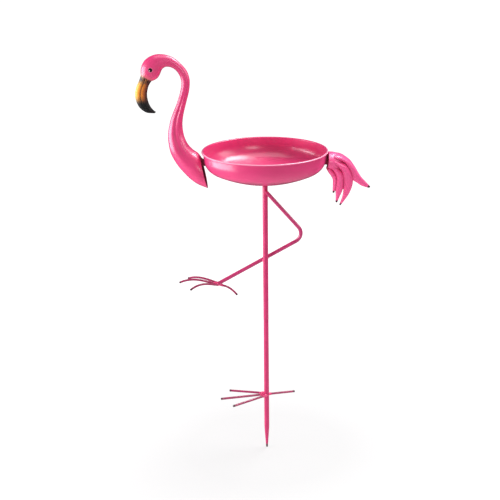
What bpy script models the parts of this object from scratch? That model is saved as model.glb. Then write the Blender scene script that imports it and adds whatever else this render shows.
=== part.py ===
"""Flamingo bird bath on a garden stake, in metres, +Z up.

The origin is on the post's axis at the level of the ground, the underside of the
standing foot. The bird looks along -X and its tail is at +X.
"""
from math import acos, atan2, ceil, cos, pi, radians, sin, sqrt, tan

import bmesh
import bpy
from mathutils import Vector

for old in list(bpy.data.objects):
    bpy.data.objects.remove(old, do_unlink=True)

# Heights above the ground
RIM_HEIGHT = 0.655
SPIKE_DEPTH = 0.150
POST_JOINT_HEIGHT = 0.2105

# Dish: a spun sheet dish with a rolled rim
DISH_DIAMETER = 0.310
DISH_DEPTH = 0.080
DISH_SHEET = 0.0012
RIM_ROLL = 0.005
DISH_CORNER = 0.037
DISH_CROWN = 0.280
DISH_FLAT = 0.022

# Post, in two lengths that plug together
POST_DIAMETER = 0.0132
LOWER_POST_DIAMETER = 0.0128
POST_NECK_DIAMETER = 0.0085
POST_NECK_LENGTH = 0.010
POST_SHOULDER = 0.003
SPIGOT_DIAMETER = 0.0084
SPIGOT_LENGTH = 0.030
SPIGOT_CLEARANCE = 0.0003
SPIKE_TAPER = 0.063
SPIKE_TIP_DIAMETER = 0.0045

# Head, neck and breast, one hollow piece, its shape given as shares of its height
FIGURE_HEIGHT = 0.330
FIGURE_SHEET = 0.0012
BREAST_CLEARANCE = 0.0085
BREAST_DROP = 0.0125

# Tail, one hollow piece at its root, its shape given as shares of its length
TAIL_LENGTH = 0.110
TAIL_SHEET = 0.0012
TAIL_CLEARANCE = 0.0055
TAIL_DROP = 0.0065

# Flat brackets that carry the breast and the tail on the dish
BRACKET_THICKNESS = 0.002
BREAST_BRACKET_TOP = 0.021
TAIL_BRACKET_TOP = 0.0085
BRACKET_BOTTOM = 0.038

# Raised leg: one bent rod
LEG_DIAMETER = 0.0094
THIGH_DROP = 0.014
THIGH_OFFSET = 0.004
THIGH_LENGTH = 0.1525
THIGH_ANGLE = 50.0
SHIN_LENGTH = 0.260
SHIN_ANGLE = 30.4
KNEE_BEND = 0.0255

# Toes of both feet
TOE_DIAMETER = 0.0057
MIDDLE_TOE = 0.115
FAR_TOE = 0.094
NEAR_TOE = 0.105
BACK_TOE = 0.069
TOE_SPREAD = 24.0
TOE_STAGGER = 0.80
FOOT_TURN = 12.4

# Raised toes: angle from the middle one, how far they reach forward and how high they arch
RAISED_MIDDLE = (0.0, 0.0935, 0.0095)
RAISED_FAR = (-18.0, 0.0815, 0.0070)
RAISED_NEAR = (36.0, 0.0830, 0.0090)
RAISED_TOE_RISE = 0.004
RAISED_BACK_TOE_REACH = 0.0410
RAISED_BACK_TOE_DROP = 0.0265
RAISED_BACK_TOE_SET = 0.005
TOE_TIP_SHARE = 0.9

GAP = 0.0003

# Fineness of the facets
DISH_SIDES = 56
POST_SIDES = 20
FIGURE_SIDES = 18
FEATHER_SIDES = 12
KNEE_STEPS = 9
TOE_STEPS = 8

# What follows from the sizes above
DISH_RADIUS = DISH_DIAMETER / 2
WALL_RADIUS = DISH_RADIUS - RIM_ROLL
DISH_BOTTOM = RIM_HEIGHT - DISH_DEPTH
POST_TOP = DISH_BOTTOM - POST_NECK_LENGTH


def paint(name, colour, roughness=0.28, metallic=0.0):
    """A plain painted finish for one object."""
    material = bpy.data.materials.new(name)
    material.use_nodes = True
    shader = material.node_tree.nodes["Principled BSDF"]
    shader.inputs["Base Color"].default_value = (*colour, 1.0)
    shader.inputs["Roughness"].default_value = roughness
    shader.inputs["Metallic"].default_value = metallic
    material.diffuse_color = (*colour, 1.0)
    return material


PINK = (0.82, 0.07, 0.20)
DEEP_PINK = (0.72, 0.04, 0.14)


def finish_mesh(name, bm, colour):
    """Turn a finished bmesh into a named object with its own material."""
    bmesh.ops.recalc_face_normals(bm, faces=bm.faces)
    mesh = bpy.data.meshes.new(name)
    bm.to_mesh(mesh)
    bm.free()
    mesh.shade_smooth()
    mesh.set_sharp_from_angle(angle=radians(40))
    mesh.materials.append(paint(name + "_paint", colour))
    body = bpy.data.objects.new(name, mesh)
    bpy.context.scene.collection.objects.link(body)
    return body


def arc(centre_r, centre_z, radius, start, end, steps):
    """Points of a round stretch, from angle to angle in degrees."""
    points = []
    for i in range(steps + 1):
        angle = radians(start + (end - start) * i / steps)
        points.append((centre_r + radius * cos(angle), centre_z + radius * sin(angle)))
    return points


def stitch(bm, first, second):
    """Faces between two rings, either of which may be a single point."""
    count = max(len(first), len(second))
    for i in range(count):
        j = (i + 1) % count
        if len(first) == 1:
            bm.faces.new((first[0], second[j], second[i]))
        elif len(second) == 1:
            bm.faces.new((first[i], first[j], second[0]))
        else:
            bm.faces.new((first[i], first[j], second[j], second[i]))


def turned(name, profile, sides, colour):
    """A body turned about the Z axis from an outline that starts and ends on it."""
    bm = bmesh.new()
    rings = []
    for r, z in profile:
        if r < 1e-6:
            rings.append([bm.verts.new((0, 0, z))])
            continue
        turn = [2 * pi * i / sides for i in range(sides)]
        rings.append([bm.verts.new((r * cos(a), r * sin(a), z)) for a in turn])
    for upper, lower in zip(rings, rings[1:]):
        stitch(bm, upper, lower)
    return finish_mesh(name, bm, colour)


def crown_depth(r):
    """Depth of the shallow bottom under the rim, at a radius outside its flat centre."""
    return DISH_DEPTH - (r * r - DISH_FLAT * DISH_FLAT) / (2 * DISH_CROWN)


def corner_circle():
    """Centre depth of the corner arc and the angle where it meets the bottom."""
    centre_r = WALL_RADIUS - DISH_CORNER
    slope = centre_r / (DISH_CROWN - DISH_CORNER)
    meet = atan2(slope, 1.0)
    meet_r = centre_r + DISH_CORNER * sin(meet)
    return crown_depth(meet_r) - DISH_CORNER * cos(meet), meet, meet_r


def wall_radius_at(depth):
    """Outer radius of the dish at a depth below the rim, above its shallow bottom."""
    centre_depth = corner_circle()[0]
    below = max(0.0, depth - centre_depth)
    return WALL_RADIUS - DISH_CORNER + sqrt(max(0.0, DISH_CORNER**2 - below**2))


def make_dish():
    centre_depth, meet, meet_r = corner_circle()
    centre_r = WALL_RADIUS - DISH_CORNER
    corner_z = RIM_HEIGHT - centre_depth
    roll_r = DISH_RADIUS - RIM_ROLL / 2
    roll_z = RIM_HEIGHT - RIM_ROLL / 2
    low = -90 + meet * 180 / pi
    inner = DISH_CORNER - DISH_SHEET
    profile = [(0, DISH_BOTTOM + DISH_SHEET), (DISH_FLAT, DISH_BOTTOM + DISH_SHEET)]
    crown = [DISH_FLAT + (meet_r - DISH_FLAT) * i / 5 for i in range(1, 5)]
    for r in crown:
        profile.append((r, RIM_HEIGHT - crown_depth(r) + DISH_SHEET))
    profile += arc(centre_r, corner_z, inner, low, 0, 5)
    lip = WALL_RADIUS - DISH_SHEET + RIM_ROLL / 2
    profile += arc(lip, roll_z, RIM_ROLL / 2, 180, 90, 2)
    profile += arc(roll_r, roll_z, RIM_ROLL / 2, 60, -120, 5)
    profile.append((WALL_RADIUS, roll_z - RIM_ROLL / 2))
    profile += arc(centre_r, corner_z, DISH_CORNER, 0, low, 5)
    for r in reversed(crown):
        profile.append((r, RIM_HEIGHT - crown_depth(r)))
    profile += [(DISH_FLAT, DISH_BOTTOM), (0, DISH_BOTTOM)]
    return turned("dish", profile, DISH_SIDES, PINK)


def make_post():
    """The upper length with its neck under the dish, and the lower one with the spike."""
    radius = POST_DIAMETER / 2
    neck = POST_NECK_DIAMETER / 2
    socket = SPIGOT_DIAMETER / 2 + SPIGOT_CLEARANCE
    socket_top = POST_JOINT_HEIGHT + GAP + SPIGOT_LENGTH + GAP
    upper = [(0, DISH_BOTTOM - GAP), (neck, DISH_BOTTOM - GAP), (neck, POST_TOP)]
    shoulder = min(POST_SHOULDER, radius - neck - GAP)
    upper += arc(radius - shoulder, POST_TOP - shoulder, shoulder, 90, 0, 3)
    upper += [(radius, POST_JOINT_HEIGHT + GAP), (socket, POST_JOINT_HEIGHT + GAP)]
    upper += [(socket, socket_top), (0, socket_top)]
    turned("upper_post", upper, POST_SIDES, PINK)

    radius = LOWER_POST_DIAMETER / 2
    spigot = SPIGOT_DIAMETER / 2
    tip = SPIKE_TIP_DIAMETER / 2
    spigot_top = POST_JOINT_HEIGHT + SPIGOT_LENGTH
    lower = [(0, spigot_top), (spigot, spigot_top), (spigot, POST_JOINT_HEIGHT)]
    lower += [(radius, POST_JOINT_HEIGHT), (radius, -SPIKE_DEPTH + SPIKE_TAPER)]
    lower += arc(0, -SPIKE_DEPTH + tip, tip, 0, -90, 3)[:-1]
    lower.append((0, -SPIKE_DEPTH))
    return turned("lower_post_with_spike", lower, POST_SIDES, PINK)


def smooth(values, t):
    """A value on the smooth curve through a list of numbers, at place t along it."""
    i = min(int(t), len(values) - 2)
    u = t - i
    before = values[max(i - 1, 0)]
    start = values[i]
    end = values[i + 1]
    after = values[min(i + 2, len(values) - 1)]
    rise = (end - before) / 2
    run = (after - start) / 2
    bend = 2 * (start - end) + rise + run
    return start + rise * u + (3 * (end - start) - 2 * rise - run) * u * u + bend * u**3


# Stations of the head, neck and breast, from the open rear to the tip of the beak:
# front edge x, z, back edge x, z, and half the width across, as shares of the height,
# measured from the back edge of the breast.
FIGURE = [
    (0.052, -0.245, 0.000, 0.000, 0.103),
    (-0.017, -0.215, -0.003, 0.006, 0.107),
    (-0.072, -0.175, -0.008, 0.013, 0.105),
    (-0.123, -0.123, -0.018, 0.024, 0.097),
    (-0.173, -0.059, -0.051, 0.048, 0.086),
    (-0.216, 0.024, -0.087, 0.089, 0.072),
    (-0.231, 0.106, -0.109, 0.138, 0.059),
    (-0.231, 0.172, -0.119, 0.183, 0.050),
    (-0.215, 0.256, -0.123, 0.240, 0.043),
    (-0.190, 0.326, -0.115, 0.304, 0.038),
    (-0.165, 0.383, -0.100, 0.365, 0.034),
    (-0.146, 0.438, -0.084, 0.423, 0.032),
    (-0.131, 0.488, -0.068, 0.483, 0.032),
    (-0.123, 0.537, -0.061, 0.545, 0.032),
    (-0.127, 0.574, -0.065, 0.587, 0.032),
    (-0.141, 0.610, -0.082, 0.634, 0.032),
    (-0.165, 0.641, -0.120, 0.681, 0.033),
    (-0.194, 0.658, -0.171, 0.725, 0.036),
    (-0.223, 0.663, -0.217, 0.746, 0.040),
    (-0.243, 0.658, -0.259, 0.754, 0.045),
    (-0.259, 0.644, -0.302, 0.753, 0.050),
    (-0.268, 0.626, -0.343, 0.740, 0.054),
    (-0.278, 0.604, -0.381, 0.714, 0.056),
    (-0.294, 0.582, -0.405, 0.678, 0.054),
    (-0.318, 0.567, -0.415, 0.638, 0.047),
    (-0.339, 0.558, -0.416, 0.602, 0.037),
    (-0.354, 0.538, -0.431, 0.560, 0.031),
    (-0.366, 0.510, -0.449, 0.522, 0.029),
    (-0.374, 0.474, -0.461, 0.475, 0.028),
    (-0.373, 0.437, -0.460, 0.431, 0.027),
    (-0.364, 0.398, -0.442, 0.379, 0.024),
    (-0.349, 0.368, -0.412, 0.346, 0.020),
    (-0.331, 0.347, -0.377, 0.327, 0.015),
    (-0.313, 0.333, -0.325, 0.323, 0.005),
]
FIGURE_RINGS = 44
FIGURE_HOLLOW_SHARE = 0.697


def figure_ring(t, sheet):
    """One ring of the head, neck and breast, its points pulled in by a sheet's thickness."""
    column = [smooth([station[k] for station in FIGURE], t) * FIGURE_HEIGHT for k in range(5)]
    front = Vector((column[0], 0, column[1]))
    back = Vector((column[2], 0, column[3]))
    corner = Vector((-WALL_RADIUS - BREAST_CLEARANCE, 0, RIM_HEIGHT - BREAST_DROP))
    middle = (front + back) / 2 + corner
    along = (front - back).normalized()
    deep = (front - back).length / 2 - sheet
    wide = column[4] - sheet
    ring = []
    for i in range(FIGURE_SIDES):
        angle = 2 * pi * i / FIGURE_SIDES
        ring.append(middle + along * deep * cos(angle) + Vector((0, wide * sin(angle), 0)))
    return ring


def figure_places(share):
    """Even places along the stations, over a share of their number."""
    count = ceil(FIGURE_RINGS * share)
    return [(len(FIGURE) - 1) * share * i / count for i in range(count + 1)]


def make_figure():
    """A tube of rings from the open breast to the beak, with its walls' true thickness."""
    bm = bmesh.new()
    outer = [figure_ring(t, 0.0) for t in figure_places(1)]
    inner = [figure_ring(t, FIGURE_SHEET) for t in figure_places(FIGURE_HOLLOW_SHARE)]
    outer_rings = [[bm.verts.new(p) for p in ring] for ring in outer]
    inner_rings = [[bm.verts.new(p) for p in ring] for ring in inner]
    for one, two in zip(outer_rings, outer_rings[1:]):
        stitch(bm, one, two)
    for one, two in zip(inner_rings, inner_rings[1:]):
        stitch(bm, one, two)
    stitch(bm, outer_rings[0], inner_rings[0])
    for ring in (outer_rings[-1], inner_rings[-1]):
        centre = sum((v.co for v in ring), Vector()) / len(ring)
        stitch(bm, ring, [bm.verts.new(centre)])
    return finish_mesh("head_neck_and_breast", bm, PINK)


# Feathers of the tail and the cup that joins them at the dish: upper edge x, z, lower
# edge x, z, and half the width across, as shares of the tail's length, measured from
# the upper corner of the cup's mouth.
TAIL_CUP = [
    (0.000, 0.000, -0.030, -0.345, 0.300),
    (0.100, -0.002, 0.050, -0.400, 0.290),
    (0.210, -0.030, 0.110, -0.440, 0.250),
    (0.310, -0.085, 0.190, -0.445, 0.170),
    (0.390, -0.160, 0.280, -0.430, 0.095),
    (0.430, -0.230, 0.345, -0.390, 0.028),
]
FEATHERS = {
    "upper": [
        (0.120, -0.022, 0.120, -0.150, 0.235),
        (0.270, -0.046, 0.240, -0.175, 0.230),
        (0.390, -0.111, 0.365, -0.250, 0.190),
        (0.495, -0.197, 0.432, -0.358, 0.135),
        (0.607, -0.360, 0.508, -0.492, 0.090),
        (0.692, -0.505, 0.550, -0.642, 0.065),
        (0.757, -0.597, 0.645, -0.715, 0.045),
        (0.848, -0.694, 0.760, -0.790, 0.032),
        (0.952, -0.806, 0.920, -0.840, 0.014),
    ],
    "second": [
        (0.130, -0.110, 0.090, -0.240, 0.280),
        (0.270, -0.180, 0.200, -0.330, 0.270),
        (0.400, -0.265, 0.275, -0.425, 0.215),
        (0.485, -0.400, 0.312, -0.550, 0.150),
        (0.545, -0.560, 0.332, -0.665, 0.095),
        (0.553, -0.720, 0.338, -0.780, 0.065),
        (0.515, -0.870, 0.340, -0.900, 0.048),
        (0.440, -1.020, 0.318, -1.030, 0.034),
        (0.283, -1.240, 0.250, -1.222, 0.014),
    ],
    "third": [
        (0.100, -0.230, 0.030, -0.330, 0.268),
        (0.215, -0.330, 0.095, -0.420, 0.250),
        (0.305, -0.435, 0.150, -0.530, 0.195),
        (0.343, -0.570, 0.165, -0.640, 0.130),
        (0.336, -0.760, 0.163, -0.790, 0.082),
        (0.322, -0.890, 0.165, -0.900, 0.058),
        (0.272, -1.005, 0.170, -1.010, 0.040),
        (0.208, -1.168, 0.168, -1.162, 0.014),
    ],
    "lowest": [
        (0.035, -0.300, -0.047, -0.378, 0.215),
        (0.105, -0.385, 0.005, -0.468, 0.210),
        (0.165, -0.480, 0.062, -0.548, 0.170),
        (0.190, -0.600, 0.102, -0.640, 0.120),
        (0.180, -0.760, 0.103, -0.770, 0.070),
        (0.145, -0.938, 0.098, -0.944, 0.018),
    ],
}
TAIL_HOLLOW_SHARE = 0.72
HOLLOW_STEPS = 6


def tail_corner():
    return Vector((WALL_RADIUS + TAIL_CLEARANCE, 0, RIM_HEIGHT - TAIL_DROP))


def tail_ring(table, t, sheet):
    column = [smooth([station[k] for station in table], t) * TAIL_LENGTH for k in range(5)]
    upper = Vector((column[0], 0, column[1]))
    lower = Vector((column[2], 0, column[3]))
    middle = (upper + lower) / 2 + tail_corner()
    along = (upper - lower).normalized()
    deep = (upper - lower).length / 2 - sheet
    wide = column[4] - sheet
    ring = []
    for i in range(FEATHER_SIDES):
        angle = 2 * pi * i / FEATHER_SIDES
        ring.append(middle + along * deep * cos(angle) + Vector((0, wide * sin(angle), 0)))
    return ring


def loft(name, rings, colour):
    """A closed body through rings, capped at both ends."""
    bm = bmesh.new()
    made = [[bm.verts.new(p) for p in ring] for ring in rings]
    for one, two in zip(made, made[1:]):
        stitch(bm, one, two)
    for ring in (made[0], made[-1]):
        centre = sum((v.co for v in ring), Vector()) / len(ring)
        stitch(bm, ring, [bm.verts.new(centre)])
    return finish_mesh(name, bm, colour)


def combine(body, other, operation):
    """Join or cut one body with another and remove the other."""
    step = body.modifiers.new(operation.lower(), "BOOLEAN")
    step.operation = operation
    step.solver = "EXACT"
    step.object = other
    graph = bpy.context.evaluated_depsgraph_get()
    mesh = bpy.data.meshes.new_from_object(body.evaluated_get(graph))
    body.modifiers.remove(step)
    body.data = mesh
    bpy.data.objects.remove(other, do_unlink=True)


def make_tail():
    """A cup and four feathers joined from the lowest up, one piece, hollow at its root."""
    tail = loft("tail", [tail_ring(TAIL_CUP, i, 0) for i in range(len(TAIL_CUP))], PINK)
    for name, table in reversed(FEATHERS.items()):
        rings = [tail_ring(table, i, 0) for i in range(len(table))]
        combine(tail, loft("feather_" + name, rings, PINK), "UNION")
    last = (len(TAIL_CUP) - 1) * TAIL_HOLLOW_SHARE
    places = [last * i / HOLLOW_STEPS for i in range(HOLLOW_STEPS + 1)]
    hollow = [tail_ring(TAIL_CUP, t, TAIL_SHEET) for t in places]
    mouth = [p - Vector((TAIL_SHEET, 0, 0)) for p in hollow[0]]
    combine(tail, loft("hollow", [mouth] + hollow, PINK), "DIFFERENCE")
    return tail


def plate(name, outline, thickness, colour):
    """A flat plate standing in the X-Z plane, centred on y = 0."""
    bm = bmesh.new()
    near = [bm.verts.new((x, -thickness / 2, z)) for x, z in outline]
    far = [bm.verts.new((x, thickness / 2, z)) for x, z in outline]
    bm.faces.new(near)
    bm.faces.new(far)
    stitch(bm, near, far)
    return finish_mesh(name, bm, colour)


# Stations of the two shells that the brackets' upper edges follow, from the inside out
BREAST_ROOF = (3.3, 2.6, 1.8, 1.0, 0.1)
TAIL_ROOF = (1.6, 1.0, 0.5, 0.05)


def dish_side(side, clear, top):
    """Edge of a bracket that follows the dish's wall, from top to bottom."""
    points = []
    for i in range(5):
        depth = top + (BRACKET_BOTTOM - top) * i / 4
        points.append((side * (wall_radius_at(depth) + clear), RIM_HEIGHT - depth))
    return points


def make_brackets():
    """Flat brackets: their roof touches the shell's inside, their edge the dish's wall."""
    breast = dish_side(-1, GAP, BREAST_BRACKET_TOP)
    roof = [figure_ring(t, FIGURE_SHEET + GAP)[FIGURE_SIDES // 2] for t in BREAST_ROOF]
    left = roof[0].x
    outline = breast + [(left, breast[-1][1])] + [(p.x, p.z) for p in roof]
    plate("breast_bracket", outline, BRACKET_THICKNESS, DEEP_PINK)
    tail = dish_side(1, GAP, TAIL_BRACKET_TOP)
    roof = [tail_ring(TAIL_CUP, t, TAIL_SHEET + GAP)[0] for t in TAIL_ROOF]
    outline = tail + [(roof[0].x, tail[-1][1])] + [(p.x, p.z) for p in roof]
    plate("tail_bracket", outline, BRACKET_THICKNESS, DEEP_PINK)


def rod(name, path, diameter, sides=8, tip=1.0):
    """A round rod along a path, with flat ends, drawn in a little at its far end."""
    curve = bpy.data.curves.new(name, "CURVE")
    curve.dimensions = "3D"
    curve.bevel_depth = diameter / 2
    curve.bevel_resolution = (sides - 4) // 2
    curve.use_fill_caps = True
    spline = curve.splines.new("POLY")
    spline.points.add(len(path) - 1)
    for i, (point, place) in enumerate(zip(spline.points, path)):
        point.co = (*place, 1.0)
        point.radius = 1.0 + (tip - 1.0) * i / (len(path) - 1)
    curve.materials.append(paint(name + "_paint", PINK))
    body = bpy.data.objects.new(name, curve)
    bpy.context.scene.collection.objects.link(body)
    return body


def make_raised_leg():
    """Thigh, knee and shin, one rod in a plane that leans past the post."""
    clear = (POST_DIAMETER + LEG_DIAMETER) / 2 / cos(pi / POST_SIDES) + GAP
    start = Vector((THIGH_OFFSET, 0, POST_TOP - THIGH_DROP))
    thigh = Vector((cos(radians(THIGH_ANGLE)), 0, -sin(radians(THIGH_ANGLE))))
    shin = Vector((-cos(radians(SHIN_ANGLE)), 0, -sin(radians(SHIN_ANGLE))))
    knee = start + thigh * THIGH_LENGTH
    turn = acos(thigh.dot(shin))
    bend_start = knee - thigh * KNEE_BEND * tan(turn / 2)
    inward = (shin - thigh).normalized()
    centre = knee + inward * (KNEE_BEND / cos(turn / 2))
    path = [start, start + (bend_start - start) * 0.5, bend_start]
    first = (bend_start - centre).normalized()
    for i in range(1, KNEE_STEPS + 1):
        angle = turn * i / KNEE_STEPS
        path.append(centre + first * KNEE_BEND * cos(angle) + thigh * KNEE_BEND * sin(angle))
    ankle = knee + shin * SHIN_LENGTH
    path += [path[-1] + (ankle - path[-1]) * share for share in (0.25, 0.5, 0.75, 1.0)]
    crossing = start.z - (knee.z + shin.z * (knee.x / -shin.x))
    lean = 2 * clear / crossing
    for point in path:
        point.y = -clear + lean * (start.z - point.z)
    rod("raised_leg", path, LEG_DIAMETER, sides=10)
    return path[-1], (path[-1] - path[-2]).normalized()


def make_raised_toes(ankle, shin):
    """Three toes arching forward from the end of the shin, and one hanging back."""
    side_step = (LEG_DIAMETER + TOE_DIAMETER) / 2 + GAP
    toes = {"middle": (RAISED_MIDDLE, 0.0), "far": (RAISED_FAR, side_step), "near": (RAISED_NEAR, -side_step)}
    for name, ((turn, reach, arch), aside) in toes.items():
        away = Vector((-cos(radians(turn)), -sin(radians(turn)), 0))
        root = ankle + Vector((0, aside, 0))
        if name == "middle":
            root = root + Vector((shin.x, 0, 0)) * (LEG_DIAMETER / 2 + GAP)
        path = []
        for i in range(TOE_STEPS + 1):
            share = i / TOE_STEPS
            lift = arch * (1 - (2 * share**1.3 - 1) ** 2) + RAISED_TOE_RISE * share
            path.append(root + away * reach * share + Vector((0, 0, lift)))
        rod("raised_toe_" + name, path, TOE_DIAMETER, tip=TOE_TIP_SHARE)
    under = Vector((-shin.z, 0, shin.x)).normalized()
    apart = LEG_DIAMETER / 2 + TOE_DIAMETER / 2 + GAP
    root = ankle - shin * RAISED_BACK_TOE_SET + under * apart
    path = []
    for i in range(TOE_STEPS + 1):
        share = i / TOE_STEPS
        drop = RAISED_BACK_TOE_DROP * share * share
        path.append(root + Vector((RAISED_BACK_TOE_REACH * share, 0, -drop)))
    rod("raised_toe_back", path, TOE_DIAMETER, tip=TOE_TIP_SHARE)


def make_standing_toes():
    """Four straight toes on the ground, their roots against the post's sides."""
    radius = TOE_DIAMETER / 2
    post = LOWER_POST_DIAMETER / 2 + GAP
    toes = {"middle": (180 + FOOT_TURN, MIDDLE_TOE, 0.0), "back": (FOOT_TURN, BACK_TOE, 0.0)}
    toes["far"] = (180 + FOOT_TURN - TOE_SPREAD, FAR_TOE, -TOE_STAGGER)
    toes["near"] = (180 + FOOT_TURN + TOE_SPREAD, NEAR_TOE, TOE_STAGGER)
    for name, (turn, length, aside) in toes.items():
        away = Vector((cos(radians(turn)), sin(radians(turn)), 0))
        across = Vector((-away.y, away.x, 0)) * post * aside
        nearest = max(0.0, post * abs(aside) - radius)
        root = across + away * sqrt(post * post - nearest * nearest)
        level = Vector((0, 0, radius))
        path = [root + level, root + away * length / 2 + level, root + away * length + level]
        rod("standing_toe_" + name, path, TOE_DIAMETER)


make_dish()
make_post()
make_figure()
make_tail()
make_brackets()
ankle_end, shin_way = make_raised_leg()
make_raised_toes(ankle_end, shin_way)
make_standing_toes()
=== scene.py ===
# %% [markdown]
# # A flamingo bird bath
#
# The object is a garden ornament in pink painted metal: a round dish on a thin post, with a flamingo's head and
# neck on one side of the dish, a tail of feathers on the other, one leg bent up behind the post, and a spike that
# goes into the ground. Here it is dressed for a picture, on top of solids that already have the right sizes.
#
# The solids come in as a fixed frame. Each visible piece below is either made again with finer curves and then
# stands for its solid, or it is the solid itself with a better finish.

# %% Loading the solids
from math import acos, atan2, cos, degrees, pi, radians, sin, sqrt, tan

import bmesh
import bpy
import numpy as np
from mathutils import Matrix, Vector


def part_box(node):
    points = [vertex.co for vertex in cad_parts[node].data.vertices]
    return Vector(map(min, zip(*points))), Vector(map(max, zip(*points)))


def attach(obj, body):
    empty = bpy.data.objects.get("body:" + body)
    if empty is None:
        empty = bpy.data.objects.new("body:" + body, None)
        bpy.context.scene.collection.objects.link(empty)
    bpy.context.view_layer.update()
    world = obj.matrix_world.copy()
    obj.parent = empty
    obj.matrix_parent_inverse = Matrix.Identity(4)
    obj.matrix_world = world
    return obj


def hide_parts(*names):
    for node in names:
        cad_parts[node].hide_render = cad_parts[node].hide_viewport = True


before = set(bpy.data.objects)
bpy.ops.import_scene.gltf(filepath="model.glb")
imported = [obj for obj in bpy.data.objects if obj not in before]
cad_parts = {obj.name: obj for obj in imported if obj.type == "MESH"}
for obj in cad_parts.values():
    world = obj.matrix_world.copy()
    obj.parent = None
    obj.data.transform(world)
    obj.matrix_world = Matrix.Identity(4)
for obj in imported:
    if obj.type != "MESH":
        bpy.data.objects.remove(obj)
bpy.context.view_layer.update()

print("solids:", sorted(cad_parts))

# %% [markdown]
# ## Sizes read from the frame
#
# A piece that is made again has to sit exactly where its solid is. So its sizes are read from the solid's box
# rather than typed in twice: the dish's radius and height, the thickness of the post, the level of the joint.

# %% Sizes
DISH_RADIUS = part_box("dish")[1].x
RIM_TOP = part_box("dish")[1].z
DISH_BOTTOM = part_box("dish")[0].z
POST_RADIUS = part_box("upper_post")[1].x
LOWER_POST_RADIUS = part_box("lower_post_with_spike")[1].x
JOINT_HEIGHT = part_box("upper_post")[0].z
SPIKE_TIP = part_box("lower_post_with_spike")[0].z
GAP = 0.0003
print("dish %.0f mm across, rim at %.0f mm, spike %.0f mm deep" % (
    2000 * DISH_RADIUS, 1000 * RIM_TOP, -1000 * SPIKE_TIP))

# %% [markdown]
# ## Helpers for meshes
#
# Five small functions are used all through. One turns faces outwards, which glossy paint needs, and shades them
# smooth but keeps true edges sharp. One makes an object from points and faces. Two write and read numbers at an
# object's points. The last one hands a finished piece to the frame.

# %% Mesh helpers
BODY = "root"


def finish_shading(mesh, sharp_angle=35.0):
    """Outward faces, smooth shading, and sharp edges only where the surface really breaks."""
    bm = bmesh.new()
    bm.from_mesh(mesh)
    bmesh.ops.recalc_face_normals(bm, faces=bm.faces)
    bm.to_mesh(mesh)
    bm.free()
    mesh.shade_smooth()
    mesh.set_sharp_from_angle(angle=radians(sharp_angle))


def mesh_object(name, points, faces, material, sharp_angle=35.0):
    """A named object from points and faces."""
    mesh = bpy.data.meshes.new(name)
    mesh.from_pydata([tuple(p) for p in points], [], faces)
    mesh.materials.append(material)
    finish_shading(mesh, sharp_angle)
    piece = bpy.data.objects.new(name, mesh)
    bpy.context.scene.collection.objects.link(piece)
    return piece


def store(piece, name, values):
    """Keep one number for each of a piece's points, for its paint to read."""
    attribute = piece.data.attributes.new(name, "FLOAT", "POINT")
    attribute.data.foreach_set("value", np.asarray(values, np.float32))


def points_of(piece):
    """The places of a piece's points, one row each."""
    flat = np.empty(len(piece.data.vertices) * 3, np.float32)
    piece.data.vertices.foreach_get("co", flat)
    return flat.reshape(-1, 3)


def place(piece, slot, *nodes):
    """Hand a finished piece to the frame: it rides on the body and stands for its solids."""
    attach(piece, BODY)
    if nodes:
        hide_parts(*nodes)
    count = len(piece.data.vertices)
    print("%s: %d vertices, stands for %s" % (piece.name, count, ", ".join(nodes) or "no solid"))
    return piece


# %% [markdown]
# ## Helpers for node trees
#
# Geometry Nodes and shader trees are both built in code. One helper adds a node, sets its inputs and joins its
# links in a single call, so that a tree reads from top to bottom like a recipe. The short ones below it are for
# the nodes that come back again and again: sums, ranges, blends, noise and attributes.

# %% Node helpers
def add(tree, kind, inputs=None, **settings):
    """Add a node; an input's value is either a plain value or another node's output."""
    node = tree.nodes.new(kind)
    for name, value in settings.items():
        setattr(node, name, value)
    for socket, value in (inputs or {}).items():
        if isinstance(value, bpy.types.NodeSocket):
            tree.links.new(value, node.inputs[socket])
        else:
            node.inputs[socket].default_value = value
    return node


def calc(tree, operation, *values):
    """What a maths node makes of numbers or of other nodes' outputs."""
    return add(tree, "ShaderNodeMath", dict(enumerate(values)), operation=operation).outputs[0]


def grade(tree, value, start, end, low=0.0, high=1.0, **settings):
    """A value carried over from one range to another, and held at both ends."""
    return add(tree, "ShaderNodeMapRange", {0: value, 1: start, 2: end, 3: low, 4: high}, **settings).outputs[0]


def soft_step(tree, value, start, end):
    """0 before the start, 1 after the end, smooth between them."""
    return grade(tree, value, start, end, interpolation_type="SMOOTHSTEP")


def choose(tree, share, below, above):
    """A number between two others, by a share."""
    return add(tree, "ShaderNodeMix", {"Factor": share, 2: below, 3: above}, data_type="FLOAT").outputs[0]


def blend(tree, share, below, above):
    """One colour laid over another, by a share."""
    return add(tree, "ShaderNodeMix", {"Factor": share, 6: below, 7: above}, data_type="RGBA").outputs[2]


def noise(tree, place, scale, detail):
    return add(tree, "ShaderNodeTexNoise", {"Vector": place, "Scale": scale, "Detail": detail}).outputs[0]


def attribute(tree, name):
    """What a shader reads of the numbers that a mesh keeps at its points."""
    return add(tree, "ShaderNodeAttribute", attribute_name=name).outputs["Fac"]


# %% [markdown]
# A Geometry Nodes tree runs as a modifier. Its result is kept as the object's plain mesh and the modifier goes
# away again, so every finished piece is an ordinary mesh.

# %% Tree helpers
def geometry_tree(name, sockets):
    """A Geometry Nodes tree with a geometry input and output and the named inputs."""
    tree = bpy.data.node_groups.new(name, "GeometryNodeTree")
    tree.interface.new_socket("Geometry", in_out="INPUT", socket_type="NodeSocketGeometry")
    for label, kind in sockets:
        tree.interface.new_socket(label, in_out="INPUT", socket_type=kind)
    tree.interface.new_socket("Geometry", in_out="OUTPUT", socket_type="NodeSocketGeometry")
    return tree, tree.nodes.new("NodeGroupInput").outputs


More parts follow.
